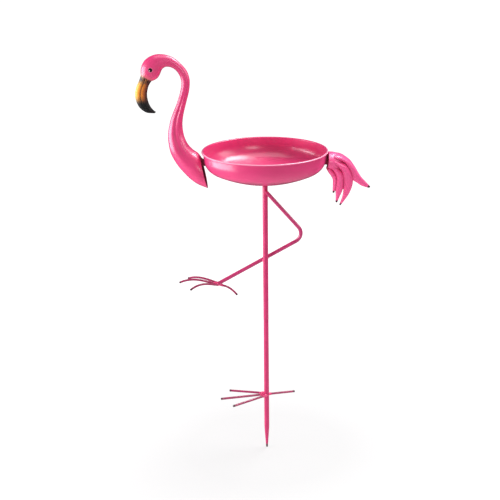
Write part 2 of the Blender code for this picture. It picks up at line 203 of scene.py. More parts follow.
def close_tree(tree, geometry, material):
    """The usual end of a tree: real geometry, smooth, with its material."""
    real = add(tree, "GeometryNodeRealizeInstances", {0: geometry})
    smooth = add(tree, "GeometryNodeSetShadeSmooth", {0: real.outputs[0]})
    dressed = add(tree, "GeometryNodeSetMaterial", {"Geometry": smooth.outputs[0], "Material": material})
    add(tree, "NodeGroupOutput", {0: dressed.outputs[0]})


def keep_result(piece, modifier):
    """Keep what a modifier makes of an object as the object's plain mesh, and remove the modifier."""
    bpy.context.view_layer.update()
    graph = bpy.context.evaluated_depsgraph_get()
    mesh = bpy.data.meshes.new_from_object(piece.evaluated_get(graph))
    piece.modifiers.remove(modifier)
    piece.data = mesh


def grow(piece, tree, values, sharp_angle=35.0):
    """Run a tree on an object and keep the result as its plain mesh."""
    modifier = piece.modifiers.new(tree.name, "NODES")
    modifier.node_group = tree
    identifiers = {item.name: item.identifier for item in tree.interface.items_tree if item.in_out == "INPUT"}
    for label, value in values.items():
        modifier[identifiers[label]] = value
    keep_result(piece, modifier)
    finish_shading(piece.data, sharp_angle)
    return piece


def path_object(name, points, girths=None):
    """An object that is only a line of points, each with a girth, for a tree to build on."""
    mesh = bpy.data.meshes.new(name)
    mesh.from_pydata([tuple(p) for p in points], [(i, i + 1) for i in range(len(points) - 1)], [])
    piece = bpy.data.objects.new(name, mesh)
    bpy.context.scene.collection.objects.link(piece)
    if girths is not None:
        store(piece, "girth", girths)
    return piece


# %% [markdown]
# ## The camera and the light
#
# The photograph is taken from the bird's side, from a little above the rim, with a long lens. The camera's place
# was found from the four sizes that the picture gives: its distance, its height, the tilt down and a very small
# roll. The focal length is kept as it was fitted, in pixels of a frame 500 pixels wide.

# %% Camera
FRAME_PIXELS = 500
FOCAL_PIXELS = 1173.0
CAMERA_PLACE = Vector((-0.039, -2.8, 1.305))
CAMERA_PITCH = 17.93
CAMERA_ROLL = 0.674
SENSOR = 36.0

scene = bpy.context.scene
camera_data = bpy.data.cameras.new("camera")
camera_data.sensor_width = SENSOR
camera_data.lens = SENSOR * FOCAL_PIXELS / FRAME_PIXELS
camera_data.clip_end = 200.0
camera = bpy.data.objects.new("camera", camera_data)
turn_down = Matrix.Rotation(radians(90 - CAMERA_PITCH), 4, "X")
turn_over = Matrix.Rotation(radians(-CAMERA_ROLL), 4, "Z")
camera.matrix_world = Matrix.Translation(CAMERA_PLACE) @ turn_down @ turn_over
scene.collection.objects.link(camera)
scene.camera = camera
print("lens %.1f mm, %.2f m from the post" % (camera_data.lens, CAMERA_PLACE.length))

# %% [markdown]
# The object stands in a bright studio on a white table. Five soft lights shape it. A wide one at the left draws
# the pale stripe down the neck and the post, and one behind and above draws the soft shine on the dish's floor.
# Weaker ones overhead, at the right and beside the camera fill the rest. The floor looks pure white to the
# camera, but it shows darker in reflections, so that the glossy paint keeps its dark outlines.

# %% World
SKY_FILL = 0.4
SKY_MIRRORED = 0.02
scene.view_settings.view_transform = "Standard"

world = bpy.data.worlds.new("studio")
world.use_nodes = True
world_background = world.node_tree.nodes["Background"].inputs
world_ray = add(world.node_tree, "ShaderNodeLightPath").outputs
world_light = grade(world.node_tree, world_ray["Is Glossy Ray"], 0.0, 1.0, SKY_FILL, SKY_MIRRORED)
world_background["Color"].default_value = (1.0, 1.0, 1.0, 1.0)
world.node_tree.links.new(world_light, world_background["Strength"])
scene.world = world

# %% Lights
TARGET = Vector((-0.03, 0.0, 0.55))
LEFT_TINT = (1.0, 0.94, 0.985)
SOFTBOXES = {
    # azimuth, elevation, distance, width, height, brightness
    "left_light": (-86, 0, 2.4, 2.5, 1.7, 6.5),
    "top_light": (126, 58, 2.8, 1.7, 1.1, 11.5),
    "ceiling_light": (0, 86, 2.8, 2.2, 2.2, 1.5),
    "right_light": (90, 26, 2.8, 1.4, 1.5, 3.0),
    "front_light": (25, 18, 3.4, 1.2, 1.2, 3.6),
}


def softbox(name, azimuth, elevation, distance, width, height, brightness):
    """A rectangular soft light, placed by its angles from the camera's side and from the level."""
    across = radians(azimuth)
    up = radians(elevation)
    way = Vector((sin(across) * cos(up), -cos(across) * cos(up), sin(up)))
    data = bpy.data.lights.new(name, "AREA")
    data.shape = "RECTANGLE"
    data.size = width
    data.size_y = height
    data.energy = brightness * pi * width * height
    light = bpy.data.objects.new(name, data)
    aimed = (-way).to_track_quat("-Z", "Y").to_matrix().to_4x4()
    light.matrix_world = Matrix.Translation(TARGET + way * distance) @ aimed
    light.visible_camera = False
    scene.collection.objects.link(light)
    print("%s: %.1f by %.1f m, %.0f W" % (name, width, height, data.energy))
    return light


lights = {name: softbox(name, *numbers) for name, numbers in SOFTBOXES.items()}
lights["left_light"].data.color = LEFT_TINT

# %% Floor
FLOOR_HALF = 40.0
FLOOR_GLOW = 0.66
FLOOR_SHADOW = 0.20
FLOOR_BOUNCE = 0.8
MIRRORED_NEAR, MIRRORED_FAR = 0.25, 0.02
MIRRORED_FADE = (0.4, 1.3)
GLOW_FADE = (0.25, 1.0)

floor_material = bpy.data.materials.new("pale_floor")
floor_material.use_nodes = True
floor_tree = floor_material.node_tree
floor_shader = floor_tree.nodes["Principled BSDF"].inputs
floor_shader["Roughness"].default_value = 0.9
floor_shader["Emission Color"].default_value = (1.0, 1.0, 1.0, 1.0)
ray = add(floor_tree, "ShaderNodeLightPath").outputs
floor_place = add(floor_tree, "ShaderNodeTexCoord").outputs["Object"]
floor_reach = add(floor_tree, "ShaderNodeVectorMath", {0: floor_place}, operation="LENGTH").outputs["Value"]
mirrored = grade(floor_tree, floor_reach, *MIRRORED_FADE, MIRRORED_NEAR, MIRRORED_FAR)
unseen_tint = choose(floor_tree, ray["Is Glossy Ray"], FLOOR_BOUNCE, mirrored)
floor_tint = choose(floor_tree, ray["Is Camera Ray"], unseen_tint, FLOOR_SHADOW)
floor_tree.links.new(floor_tint, floor_shader["Base Color"])
far_glow = grade(floor_tree, floor_reach, *GLOW_FADE, FLOOR_GLOW, 1.0)
floor_glow = calc(floor_tree, "MULTIPLY", ray["Is Camera Ray"], far_glow)
floor_tree.links.new(floor_glow, floor_shader["Emission Strength"])
floor_corners = [(-1, -1), (1, -1), (1, 1), (-1, 1)]
floor = mesh_object("floor", [(x * FLOOR_HALF, y * FLOOR_HALF, SPIKE_TIP) for x, y in floor_corners],
                    [(0, 1, 2, 3)], floor_material)

# %% [markdown]
# ## Paint
#
# Everything is steel under a thick, glossy pink enamel. Three things keep enamel from looking like plastic: the
# colour pools a little deeper in some places, the gloss varies, and the film has a faint orange-peel ripple. All
# pieces share these, so they are one node group with its own inputs, and each paint gives it its own values.

# %% Shader helpers
def linear(red, green, blue):
    """A screen colour, 0 to 255, as the light values that a shader wants."""
    channels = []
    for value in (red, green, blue):
        share = value / 255
        channels.append(share / 12.92 if share <= 0.04045 else ((share + 0.055) / 1.055) ** 2.4)
    return (*channels, 1.0)


def shader_group(name, inputs, outputs):
    """A shader node group with named sockets, each input with its starting value."""
    tree = bpy.data.node_groups.new(name, "ShaderNodeTree")
    for label, kind, value in inputs:
        socket = tree.interface.new_socket(label, in_out="INPUT", socket_type=kind)
        socket.default_value = value
    for label, kind in outputs:
        tree.interface.new_socket(label, in_out="OUTPUT", socket_type=kind)
    return tree, tree.nodes.new("NodeGroupInput").outputs


# %% [markdown]
# The enamel group mixes two shades with a slow noise. Its patterns read Object coordinates, so they stay on the
# metal when the piece is seen from another side. Three attributes of the mesh change the colour in places: a
# painted shade darkens the hollows, where shade falls; a painted highlight pales the rim's crest; and the colour
# turns darker towards some tips, with a ragged edge.

# %% Enamel colour
COLOUR = "NodeSocketColor"
NUMBER = "NodeSocketFloat"
GRIT_SCALE = 900.0
enamel, enamel_in = shader_group(
    "enamel_film",
    [("Shade", COLOUR, linear(230, 55, 117)), ("Deep Shade", COLOUR, linear(204, 38, 92)),
     ("Cloud Scale", NUMBER, 22.0), ("Cloud Amount", NUMBER, 0.35), ("Gloss", NUMBER, 0.36),
     ("Gloss Change", NUMBER, 0.06), ("Peel Scale", NUMBER, 420.0), ("Peel Depth", NUMBER, 0.004),
     ("Painted Hollow Shade", COLOUR, linear(122, 10, 52)), ("Rim Highlight Colour", COLOUR, linear(255, 186, 212)),
     ("Dark Tip Colour", COLOUR, linear(84, 26, 46))],
    [("Color", COLOUR), ("Roughness", NUMBER), ("Normal", "NodeSocketVector")])
enamel_place = add(enamel, "ShaderNodeTexCoord").outputs["Object"]
cloud = noise(enamel, enamel_place, enamel_in["Cloud Scale"], 4.0)
cloud_share = grade(enamel, cloud, 0.4, 0.75, 0.0, enamel_in["Cloud Amount"])
film = blend(enamel, cloud_share, enamel_in["Shade"], enamel_in["Deep Shade"])
# Painted shade: hollows are darkened where shade falls in them.
film = blend(enamel, attribute(enamel, "hollow"), film, enamel_in["Painted Hollow Shade"])
# Painted highlight: a pale line along the crest of the dish's rim.
film = blend(enamel, attribute(enamel, "rim_highlight"), film, enamel_in["Rim Highlight Colour"])
# Darker and duller towards some tips, with a ragged edge.
grit = calc(enamel, "MULTIPLY_ADD", noise(enamel, enamel_place, GRIT_SCALE, 3.0), 0.5, -0.25)
dark_tip_share = soft_step(enamel, calc(enamel, "ADD", attribute(enamel, "tip_dark"), grit), 0.25, 0.75)
film = blend(enamel, dark_tip_share, film, enamel_in["Dark Tip Colour"])
print("enamel group:", [item.name for item in enamel.interface.items_tree])

# %% [markdown]
# A finer cloud makes the gloss a little uneven, and the darker tips are duller than the rest. A very shallow noise
# bends the normal for the orange peel.

# %% Enamel gloss
HAZE_SCALE = 90.0
DARK_TIP_DULLER = 0.35
haze = noise(enamel, enamel_place, HAZE_SCALE, 3.0)
film_roughness = calc(enamel, "MULTIPLY_ADD", haze, enamel_in["Gloss Change"], enamel_in["Gloss"])
roughness = calc(enamel, "MULTIPLY_ADD", dark_tip_share, DARK_TIP_DULLER, film_roughness)
peel = noise(enamel, enamel_place, enamel_in["Peel Scale"], 1.0)
ripple = add(enamel, "ShaderNodeBump", {"Strength": enamel_in["Peel Depth"], "Distance": 0.001, "Height": peel})
add(enamel, "NodeGroupOutput", {"Color": film, "Roughness": roughness, "Normal": ripple.outputs[0]})
print("nodes in the enamel group:", len(enamel.nodes))

# %% [markdown]
# A paint is then one Principled shader fed by the group. Coat and specular level are the same all over a piece,
# so they are set on the shader itself; only the figure's beak gets a thinner coat, further down. The clear coat
# mirrors most at a glancing angle, where it sees the dark surroundings, and that alone draws the deep outlines of
# the painted metal.

# %% Paint materials
COAT = 0.8
COAT_ROUGHNESS = 0.2
SPECULAR = 0.6


def painted(name, values, coat=COAT):
    """A glossy paint fed by the enamel group; its shades are given as screen colours."""
    material = bpy.data.materials.new(name)
    material.use_nodes = True
    material.diffuse_color = linear(*values["Shade"])
    tree = material.node_tree
    shader = tree.nodes["Principled BSDF"].inputs
    film_node = add(tree, "ShaderNodeGroup", node_tree=enamel, name="film")
    for label, value in values.items():
        film_node.inputs[label].default_value = linear(*value) if isinstance(value, tuple) else value
    for label, socket in (("Color", "Base Color"), ("Roughness", "Roughness"), ("Normal", "Normal")):
        tree.links.new(film_node.outputs[label], shader[socket])
    shader["Coat Weight"].default_value = coat
    shader["Coat Roughness"].default_value = COAT_ROUGHNESS
    shader["Specular IOR Level"].default_value = SPECULAR
    return material


dish_paint = painted("dish_paint", {"Shade": (230, 60, 124), "Deep Shade": (206, 42, 98),
                                    "Painted Hollow Shade": (112, 6, 34), "Cloud Scale": 14.0, "Gloss": 0.31})
# A darker copy of the same pink: a painted shade for the thin leg rod.
shaded_rod_paint = painted("shaded_rod_paint", {"Shade": (200, 52, 114), "Deep Shade": (150, 26, 76),
                                  "Cloud Scale": 60.0, "Gloss": 0.30})
# A still darker copy of the same pink: a painted shade for the thin toes.
shaded_toe_paint = painted("shaded_toe_paint", {"Shade": (172, 38, 94), "Deep Shade": (122, 20, 62),
                                  "Cloud Scale": 90.0, "Gloss": 0.32})
# A lighter copy of the same pink: painted light on the tail, which the lamps reach less.
lit_tail_paint = painted("lit_tail_paint", {"Shade": (255, 84, 152), "Deep Shade": (244, 66, 134),
                                    "Painted Hollow Shade": (140, 8, 58), "Cloud Scale": 26.0, "Gloss": 0.44}, coat=0.5)
# A darker copy of the same pink: a painted shade for the post.
shaded_post_paint = painted("shaded_post_paint", {"Shade": (212, 44, 110), "Deep Shade": (178, 30, 84),
                                    "Cloud Scale": 40.0, "Gloss": 0.34}, coat=0.3)
# A deeper copy of the pink: a painted shade for the shadowed gap between the dish and the shells.
shaded_bracket_paint = painted("shaded_bracket_paint", {"Shade": (196, 34, 84), "Deep Shade": (150, 22, 60)})
# A painted shade: near-black paint on the inner faces of the shells, which lie in shade.
shaded_inside_paint = painted("shaded_inside_paint", {"Shade": (96, 12, 38), "Deep Shade": (52, 5, 20),
                                        "Cloud Scale": 40.0, "Gloss": 0.5})
weld_paint = painted("weld_paint", {"Shade": (236, 70, 130), "Deep Shade": (190, 36, 90),
                                    "Cloud Scale": 160.0, "Gloss": 0.25, "Peel Depth": 0.12})
print("paints:", [material.name for material in bpy.data.materials if material.name.endswith("_paint")])

# %% [markdown]
# The figure's paint is the same pink with an airbrushed beak. It reads two attributes that the figure's mesh
# carries: how far a point lies along the piece, counted in stations, and how far round it, from 0 at the front
# edge to 1 at the back edge. A little noise on the first keeps the beak's borders from being ruled lines.

# %% Figure paint
WOBBLE_SCALE = 260.0
WOBBLE_SHARE = 0.4
figure_paint = painted("figure_paint", {"Shade": (232, 60, 124), "Deep Shade": (206, 42, 98), "Cloud Scale": 16.0})
face = figure_paint.node_tree
face_shader = face.nodes["Principled BSDF"].inputs
face_film = face.nodes["film"].outputs
face_place = add(face, "ShaderNodeTexCoord").outputs["Object"]
beak_run = attribute(face, "beak_run")
beak_side = attribute(face, "beak_side")
wobble = calc(face, "SUBTRACT", noise(face, face_place, WOBBLE_SCALE, 2.0), 0.5)
wobbly_run = calc(face, "MULTIPLY_ADD", wobble, WOBBLE_SHARE, beak_run)
print("figure paint:", len(face.nodes), "nodes so far")

# %% [markdown]
# The beak is gold on its outer half and orange on its inner one, with a brown line for the mouth. Across it the
# colour also runs from bright yellow at the outer edge, a painted highlight, to dark brown at the inner edge, a
# painted shade. Its base fades into the face under streaky smudges, and its tip is black. Each layer is laid over
# those before it.

# %% Beak
BASE_START = 24.75
TIP_START = 29.3
AIRBRUSH_SHARE = 0.45
# From the front (inner) edge at 0 to the back (outer) edge at 1: the dark brown end is a painted shade and the bright
# yellow end a painted highlight.
BEAK_STOPS = [(0.0, (44, 24, 18)), (0.14, (104, 52, 20)), (0.3, (196, 98, 16)), (0.45, (238, 138, 18)),
              (0.53, (120, 60, 4)), (0.62, (206, 116, 0)), (0.8, (250, 172, 12)), (1.0, (255, 196, 60))]


def colour_ramp(tree, value, stops):
    """A colour ramp node from (place, screen colour) stops."""
    node = add(tree, "ShaderNodeValToRGB", {0: value})
    ramp_points = node.color_ramp.elements
    while len(ramp_points) < len(stops):
        ramp_points.new(0.5)
    for point, (at, colour) in zip(ramp_points, stops):
        point.position = at
        point.color = linear(*colour)
    return node.outputs[0]


airbrush = soft_step(face, wobbly_run, BASE_START - 1.4, BASE_START)
on_base = soft_step(face, wobbly_run, BASE_START, BASE_START + 0.3)
streak_place = add(face, "ShaderNodeCombineXYZ", {0: calc(face, "MULTIPLY", beak_run, 0.8),
                                                  1: calc(face, "MULTIPLY", beak_side, 16.0)}).outputs[0]
streaks = soft_step(face, noise(face, streak_place, 1.0, 2.0), 0.32, 0.55)
smudge_start = soft_step(face, wobbly_run, BASE_START - 0.25, BASE_START + 0.2)
smudge_end = soft_step(face, beak_run, BASE_START + 0.7, BASE_START + 2.3)
smudge_band = calc(face, "MULTIPLY", smudge_start, calc(face, "SUBTRACT", 1.0, smudge_end))
tip_place = calc(face, "MULTIPLY_ADD", beak_side, 0.3, wobbly_run)
face_colour = face_film["Color"]
for share, shade in (
        (calc(face, "MULTIPLY", airbrush, AIRBRUSH_SHARE), linear(206, 120, 84)),
        (on_base, colour_ramp(face, beak_side, BEAK_STOPS)),
        (calc(face, "MULTIPLY", smudge_band, streaks), linear(38, 18, 16)),
        (soft_step(face, tip_place, TIP_START - 0.8, TIP_START + 0.7), linear(10, 13, 17))):
    face_colour = blend(face, share, face_colour, shade)
print("beak from station %.1f, black from %.1f" % (BASE_START, TIP_START))

# %% [markdown]
# The eye is a painted disc with a soft pale ring and a small glint. It is placed by its height and its reach on
# the side of the head, so it comes out on both sides. The beak's paint is duller than the enamel.

# %% Eye and beak gloss
EYE_X, EYE_Z = -0.2708, 0.8564
EYE_RADIUS = 0.0050
RING_WIDTH, RING_EDGE, RING_SHARE = 0.0011, 0.0004, 0.35
GLINT_AHEAD, GLINT_DOWN, GLINT_RADIUS = 0.0022, 0.0016, 0.0012
BEAK_DULLER, BEAK_COAT_LOSS = 0.16, 0.65
face_parts = add(face, "ShaderNodeSeparateXYZ", {0: face_place}).outputs


def disc(x, z, radius, edge=0.0003):
    """1 inside a round spot on the side of the head and 0 outside it."""
    over = calc(face, "SUBTRACT", face_parts["X"], x)
    above = calc(face, "SUBTRACT", face_parts["Z"], z)
    distance = calc(face, "SQRT", calc(face, "MULTIPLY_ADD", over, over, calc(face, "MULTIPLY", above, above)))
    return calc(face, "SUBTRACT", 1.0, soft_step(face, distance, radius - edge, radius + edge))


ring = calc(face, "MULTIPLY", disc(EYE_X, EYE_Z, EYE_RADIUS + RING_WIDTH, RING_EDGE), RING_SHARE)
glint = disc(EYE_X - GLINT_AHEAD, EYE_Z - GLINT_DOWN, GLINT_RADIUS)
for share, shade in ((ring, linear(255, 190, 205)), (disc(EYE_X, EYE_Z, EYE_RADIUS), linear(24, 10, 14)),
                     (glint, linear(255, 186, 204))):
    face_colour = blend(face, share, face_colour, shade)
on_beak = soft_step(face, wobbly_run, BASE_START - 0.3, BASE_START + 0.3)
for socket, value in (("Base Color", face_colour),
                      ("Roughness", calc(face, "MULTIPLY_ADD", on_beak, BEAK_DULLER, face_film["Roughness"])),
                      ("Coat Weight", calc(face, "MULTIPLY_ADD", on_beak, -BEAK_COAT_LOSS, COAT))):
    face.links.new(value, face_shader[socket])
print("eye at x %.1f mm, z %.1f mm" % (1000 * EYE_X, 1000 * EYE_Z))

# %% [markdown]
# ## The dish
#
# The dish is spun from one sheet, so its shape is an outline turned about an axis. The outline is drawn once, as
# arcs: a flat floor, a shallow crown, the corner, the upright wall and a rolled rim. A Geometry Nodes tree turns
# it: it lays out a grid with one row for each point of the outline and one column for each step round the axis,
# moves every grid point to its place, and merges the seam and the poles. The posts use the same tree.

# %% Turning tree
turning, turning_in = geometry_tree("turn_outline", [("Sides", "NodeSocketInt"), ("Material", "NodeSocketMaterial")])
outline_size = add(turning, "GeometryNodeAttributeDomainSize", {0: turning_in["Geometry"]})
points_in_outline = outline_size.outputs["Point Count"]
columns = calc(turning, "ADD", turning_in["Sides"], 1.0)
grid = add(turning, "GeometryNodeMeshGrid", {"Vertices X": columns, "Vertices Y": points_in_outline})
index = add(turning, "GeometryNodeInputIndex").outputs[0]
row = calc(turning, "MODULO", index, points_in_outline)
column = calc(turning, "FLOOR", calc(turning, "DIVIDE", index, points_in_outline))
turn_share = calc(turning, "DIVIDE", column, turning_in["Sides"])
turn_angle = calc(turning, "MULTIPLY", turn_share, 2 * pi)
outline_place = add(turning, "GeometryNodeInputPosition").outputs[0]
picked = add(turning, "GeometryNodeSampleIndex", {"Geometry": turning_in["Geometry"], "Value": outline_place,
                                                  "Index": row}, data_type="FLOAT_VECTOR")
picked_parts = add(turning, "ShaderNodeSeparateXYZ", {0: picked.outputs[0]}).outputs
turned_place = add(turning, "ShaderNodeCombineXYZ", {
    "X": calc(turning, "MULTIPLY", picked_parts["X"], calc(turning, "COSINE", turn_angle)),
    "Y": calc(turning, "MULTIPLY", picked_parts["X"], calc(turning, "SINE", turn_angle)),
    "Z": picked_parts["Z"]})
moved = add(turning, "GeometryNodeSetPosition", {"Geometry": grid.outputs["Mesh"],
                                                 "Position": turned_place.outputs[0]})
merged = add(turning, "GeometryNodeMergeByDistance", {"Geometry": moved.outputs[0], "Distance": 0.00001})
close_tree(turning, merged.outputs[0], turning_in["Material"])


def turned_piece(name, outline, sides, material, sharp_angle=35.0):
    """An outline of (radius, height) points turned about the Z axis."""
    piece = path_object(name, [(r, 0, z) for r, z in outline])
    return grow(piece, turning, {"Sides": sides, "Material": material}, sharp_angle)


def arc(centre_r, centre_z, radius, start, end, steps):
    """Points of a round stretch, from angle to angle in degrees."""
    angles = [radians(start + (end - start) * i / steps) for i in range(steps + 1)]
    return [(centre_r + radius * cos(a), centre_z + radius * sin(a)) for a in angles]


# %% [markdown]
# The outline starts in the middle of the floor, runs up the inside, over the rolled rim and down the outside.
# The roll is a bead of wire thickness that the sheet wraps, so it is nearly a full circle in section.

# %% Dish outline
RIM_ROLL = 0.005
DISH_SHEET = 0.0012
DISH_CORNER = 0.037
DISH_CROWN = 0.280
DISH_FLAT = 0.022
BEAD_START, BEAD_END = 78, -150
FLAT_STEPS, CROWN_STEPS, CORNER_STEPS = 6, 24, 20
WALL_RADIUS = DISH_RADIUS - RIM_ROLL
DISH_DEPTH = RIM_TOP - DISH_BOTTOM


def crown_depth(r):
    """Depth of the shallow bottom under the rim, at a radius outside its flat centre."""
    return DISH_DEPTH - (r * r - DISH_FLAT * DISH_FLAT) / (2 * DISH_CROWN)


def dish_corner():
    """Middle of the corner's arc, radius and height, and the angle and radius where it meets the crown."""
    centre_r = WALL_RADIUS - DISH_CORNER
    meet = atan2(centre_r, DISH_CROWN - DISH_CORNER)
    meet_r = centre_r + DISH_CORNER * sin(meet)
    return centre_r, RIM_TOP - crown_depth(meet_r) + DISH_CORNER * cos(meet), meet, meet_r


def dish_outline():
    """Points of the section, from the middle of the floor over the rim to the middle of the underside."""
    centre_r, corner_z, meet, meet_r = dish_corner()
    low = degrees(meet) - 90
    bead = RIM_ROLL / 2
    bead_z = RIM_TOP - bead
    flat = [DISH_FLAT * i / FLAT_STEPS for i in range(FLAT_STEPS + 1)]
    crown = [DISH_FLAT + (meet_r - DISH_FLAT) * i / CROWN_STEPS for i in range(1, CROWN_STEPS)]
    outline = [(r, DISH_BOTTOM + DISH_SHEET) for r in flat]
    outline += [(r, RIM_TOP - crown_depth(r) + DISH_SHEET) for r in crown]
    outline += arc(centre_r, corner_z, DISH_CORNER - DISH_SHEET, low, 0, CORNER_STEPS)
    outline += arc(WALL_RADIUS - DISH_SHEET + bead, bead_z, bead, 180, 90, 6)
    outline += arc(DISH_RADIUS - bead, bead_z, bead, BEAD_START, BEAD_END, 16)
    outline += arc(centre_r, corner_z, DISH_CORNER, 0, low, CORNER_STEPS)
    outline += [(r, RIM_TOP - crown_depth(r)) for r in reversed(crown)]
    outline += [(r, DISH_BOTTOM) for r in reversed(flat)]
    return outline


print("points in the dish's outline:", len(dish_outline()))

# %% [markdown]
# Two attributes go to the paint: a painted highlight, a pale line along the crest of the bead, and a painted
# shade, darker and deeper on the inner wall.

# %% Dish
DISH_SIDES = 160
HIGHLIGHT_CREST = 55.0
HIGHLIGHT_WIDTH = 32.0
INSIDE_SHADE_START, INSIDE_SHADE_RISE, INSIDE_SHADE_SHARE = 0.015, 0.030, 0.13

dish = turned_piece("spun_dish", dish_outline(), DISH_SIDES, dish_paint, 50)
dish_points = points_of(dish)
from_axis = np.hypot(dish_points[:, 0], dish_points[:, 1])
bead_out = from_axis - (DISH_RADIUS - RIM_ROLL / 2)
bead_up = dish_points[:, 2] - (RIM_TOP - RIM_ROLL / 2)
bead_angle = np.degrees(np.arctan2(bead_up, bead_out))
on_bead = (np.hypot(bead_out, bead_up) < RIM_ROLL * 0.55) & (bead_out > 0)
# Painted highlight: a pale line along the bead's outer crest.
store(dish, "rim_highlight", np.where(on_bead, np.exp(-((bead_angle - HIGHLIGHT_CREST) / HIGHLIGHT_WIDTH) ** 2), 0.0))
# Painted shade on the inner wall, growing from the floor upwards.
height = dish_points[:, 2]
corner_r, corner_height, _, crown_end = dish_corner()
from_middle = np.hypot(from_axis - corner_r, np.minimum(height - corner_height, 0))
over_crown = height > RIM_TOP - crown_depth(from_axis) + DISH_SHEET / 2
in_corner = (from_middle < DISH_CORNER - DISH_SHEET / 2) & (height < RIM_TOP - RIM_ROLL / 2)
on_inside = np.where(from_axis < crown_end, over_crown, in_corner)
up_the_wall = np.clip((height - DISH_BOTTOM - INSIDE_SHADE_START) / INSIDE_SHADE_RISE, 0, 1)
store(dish, "hollow", np.where(on_inside, INSIDE_SHADE_SHARE * up_the_wall, 0.0))
print("dish points on the inner wall:", int((on_inside & (up_the_wall > 0)).sum()))
place(dish, "pink_paint", "dish")

# %% [markdown]
# ## The post
#
# The post is two lengths that plug together: the joint shows as a fine step, a little over a third of
# the way up from the ground. Its top is drawn in to a narrow neck that is welded under the dish, and its bottom
# is forged to a taper with a blunt tip. Both lengths are turned shapes, so the dish's tree makes them too.

# %% Post outlines
POST_NECK_RADIUS = 0.00425
POST_TOP = DISH_BOTTOM - 0.010
POST_SHOULDER = 0.0022
SHOULDER_ARC = 0.0018
NECK_FILLET = 0.0015
PLAIN_TOP = POST_TOP - 0.02
PLAIN_STEPS = 12
JOINT_EDGE = 0.0008
SPIKE_TAPER = 0.063
SPIKE_BULGE = 1.15
SPIKE_TIP_RADIUS = 0.00225


def upper_post_outline():
    shoulder_r = POST_RADIUS - POST_SHOULDER + NECK_FILLET
    outline = [(0, DISH_BOTTOM - GAP), (POST_NECK_RADIUS, DISH_BOTTOM - GAP)]
    outline += arc(POST_NECK_RADIUS + NECK_FILLET, POST_TOP + NECK_FILLET, NECK_FILLET, 180, 270, 5)
    outline += arc(shoulder_r, POST_TOP - POST_SHOULDER, SHOULDER_ARC, 90, 0, 8)
    outline = [(min(r, POST_RADIUS), z) for r, z in outline]
    outline += [(POST_RADIUS, PLAIN_TOP - (PLAIN_TOP - JOINT_HEIGHT) * i / PLAIN_STEPS) for i in range(PLAIN_STEPS)]
    outline += arc(POST_RADIUS - JOINT_EDGE, JOINT_HEIGHT + JOINT_EDGE, JOINT_EDGE, 0, -90, 5)
    outline.append((0, JOINT_HEIGHT))
    return outline


def lower_post_outline():
    top = JOINT_HEIGHT - GAP
    straight_end = SPIKE_TIP + SPIKE_TAPER
    outline = [(0, top), (LOWER_POST_RADIUS - JOINT_EDGE, top)]
    outline += arc(LOWER_POST_RADIUS - JOINT_EDGE, top - JOINT_EDGE, JOINT_EDGE, 90, 0, 5)[1:]
    outline += [(LOWER_POST_RADIUS, top - (top - straight_end) * i / PLAIN_STEPS) for i in range(1, PLAIN_STEPS)]
    for i in range(PLAIN_STEPS + 1):
        share = i / PLAIN_STEPS
        r = LOWER_POST_RADIUS + (SPIKE_TIP_RADIUS - LOWER_POST_RADIUS) * share**SPIKE_BULGE
        outline.append((r, straight_end - (SPIKE_TAPER - SPIKE_TIP_RADIUS) * share))
    outline += arc(0, SPIKE_TIP + SPIKE_TIP_RADIUS, SPIKE_TIP_RADIUS, 0, -90, 6)[1:]
    return outline


print("the joint is %.0f mm above the ground" % (1000 * JOINT_HEIGHT))

# %% [markdown]
# The spike is darker and duller towards its tip. How dark it is there is stored at the points and fades out with
# the distance from the tip. The rods' ends use the same helper.

# %% Post
POST_SIDES = 48
SPIKE_DARK_REACH = 0.011
SPIKE_DARK_START = 1.4


def darker_towards_end(distance, reach, start):
    """Darkening that fades out with the distance from an end; above 1 the dark colour is full."""
    return np.clip(start - distance / reach, 0, start)


upper_post = turned_piece("upper_post_tube", upper_post_outline(), POST_SIDES, shaded_post_paint)
place(upper_post, "pink_paint", "upper_post")
lower_post = turned_piece("lower_post_and_spike", lower_post_outline(), POST_SIDES, shaded_post_paint)
store(lower_post, "tip_dark", darker_towards_end(points_of(lower_post)[:, 2] - SPIKE_TIP, SPIKE_DARK_REACH, SPIKE_DARK_START))
place(lower_post, "pink_paint", "lower_post_with_spike")

# %% [markdown]
# ## Painted shade in hollows
#
# Grooves and hollows lie in shade, and that shade is painted into the colour. So a small tree measures how
# hollow a surface is: it blurs the points' places over their neighbours, and where the blurred place lies outside
# the surface, the surface is hollow. The result is an attribute, which the paint reads as a painted shade. It
# serves the figure and the tail.

# %% Hollows tree
hollows, hollows_in = geometry_tree("mark_hollows", [
    ("Blur", "NodeSocketInt"), ("Least Depth", "NodeSocketFloat"), ("Full Depth", "NodeSocketFloat"),
    ("Strength", "NodeSocketFloat"), ("Outside", "NodeSocketMaterial"), ("Inside", "NodeSocketMaterial")])
point_place = add(hollows, "GeometryNodeInputPosition").outputs[0]
blurred = add(hollows, "GeometryNodeBlurAttribute", {"Value": point_place, "Iterations": hollows_in["Blur"]},
              data_type="FLOAT_VECTOR")
offset = add(hollows, "ShaderNodeVectorMath", {0: blurred.outputs[0], 1: point_place}, operation="SUBTRACT")
outwards = add(hollows, "GeometryNodeInputNormal").outputs[0]
hollow_depth = add(hollows, "ShaderNodeVectorMath", {0: offset.outputs[0], 1: outwards}, operation="DOT_PRODUCT")
hollow_share = grade(hollows, hollow_depth.outputs["Value"], hollows_in["Least Depth"], hollows_in["Full Depth"],
                     0.0, hollows_in["Strength"])
hollow_kept = add(hollows, "GeometryNodeStoreNamedAttribute", {
    "Geometry": hollows_in["Geometry"], "Name": "hollow", "Value": hollow_share})
marked = add(hollows, "GeometryNodeRealizeInstances", {0: hollow_kept.outputs[0]}).outputs[0]
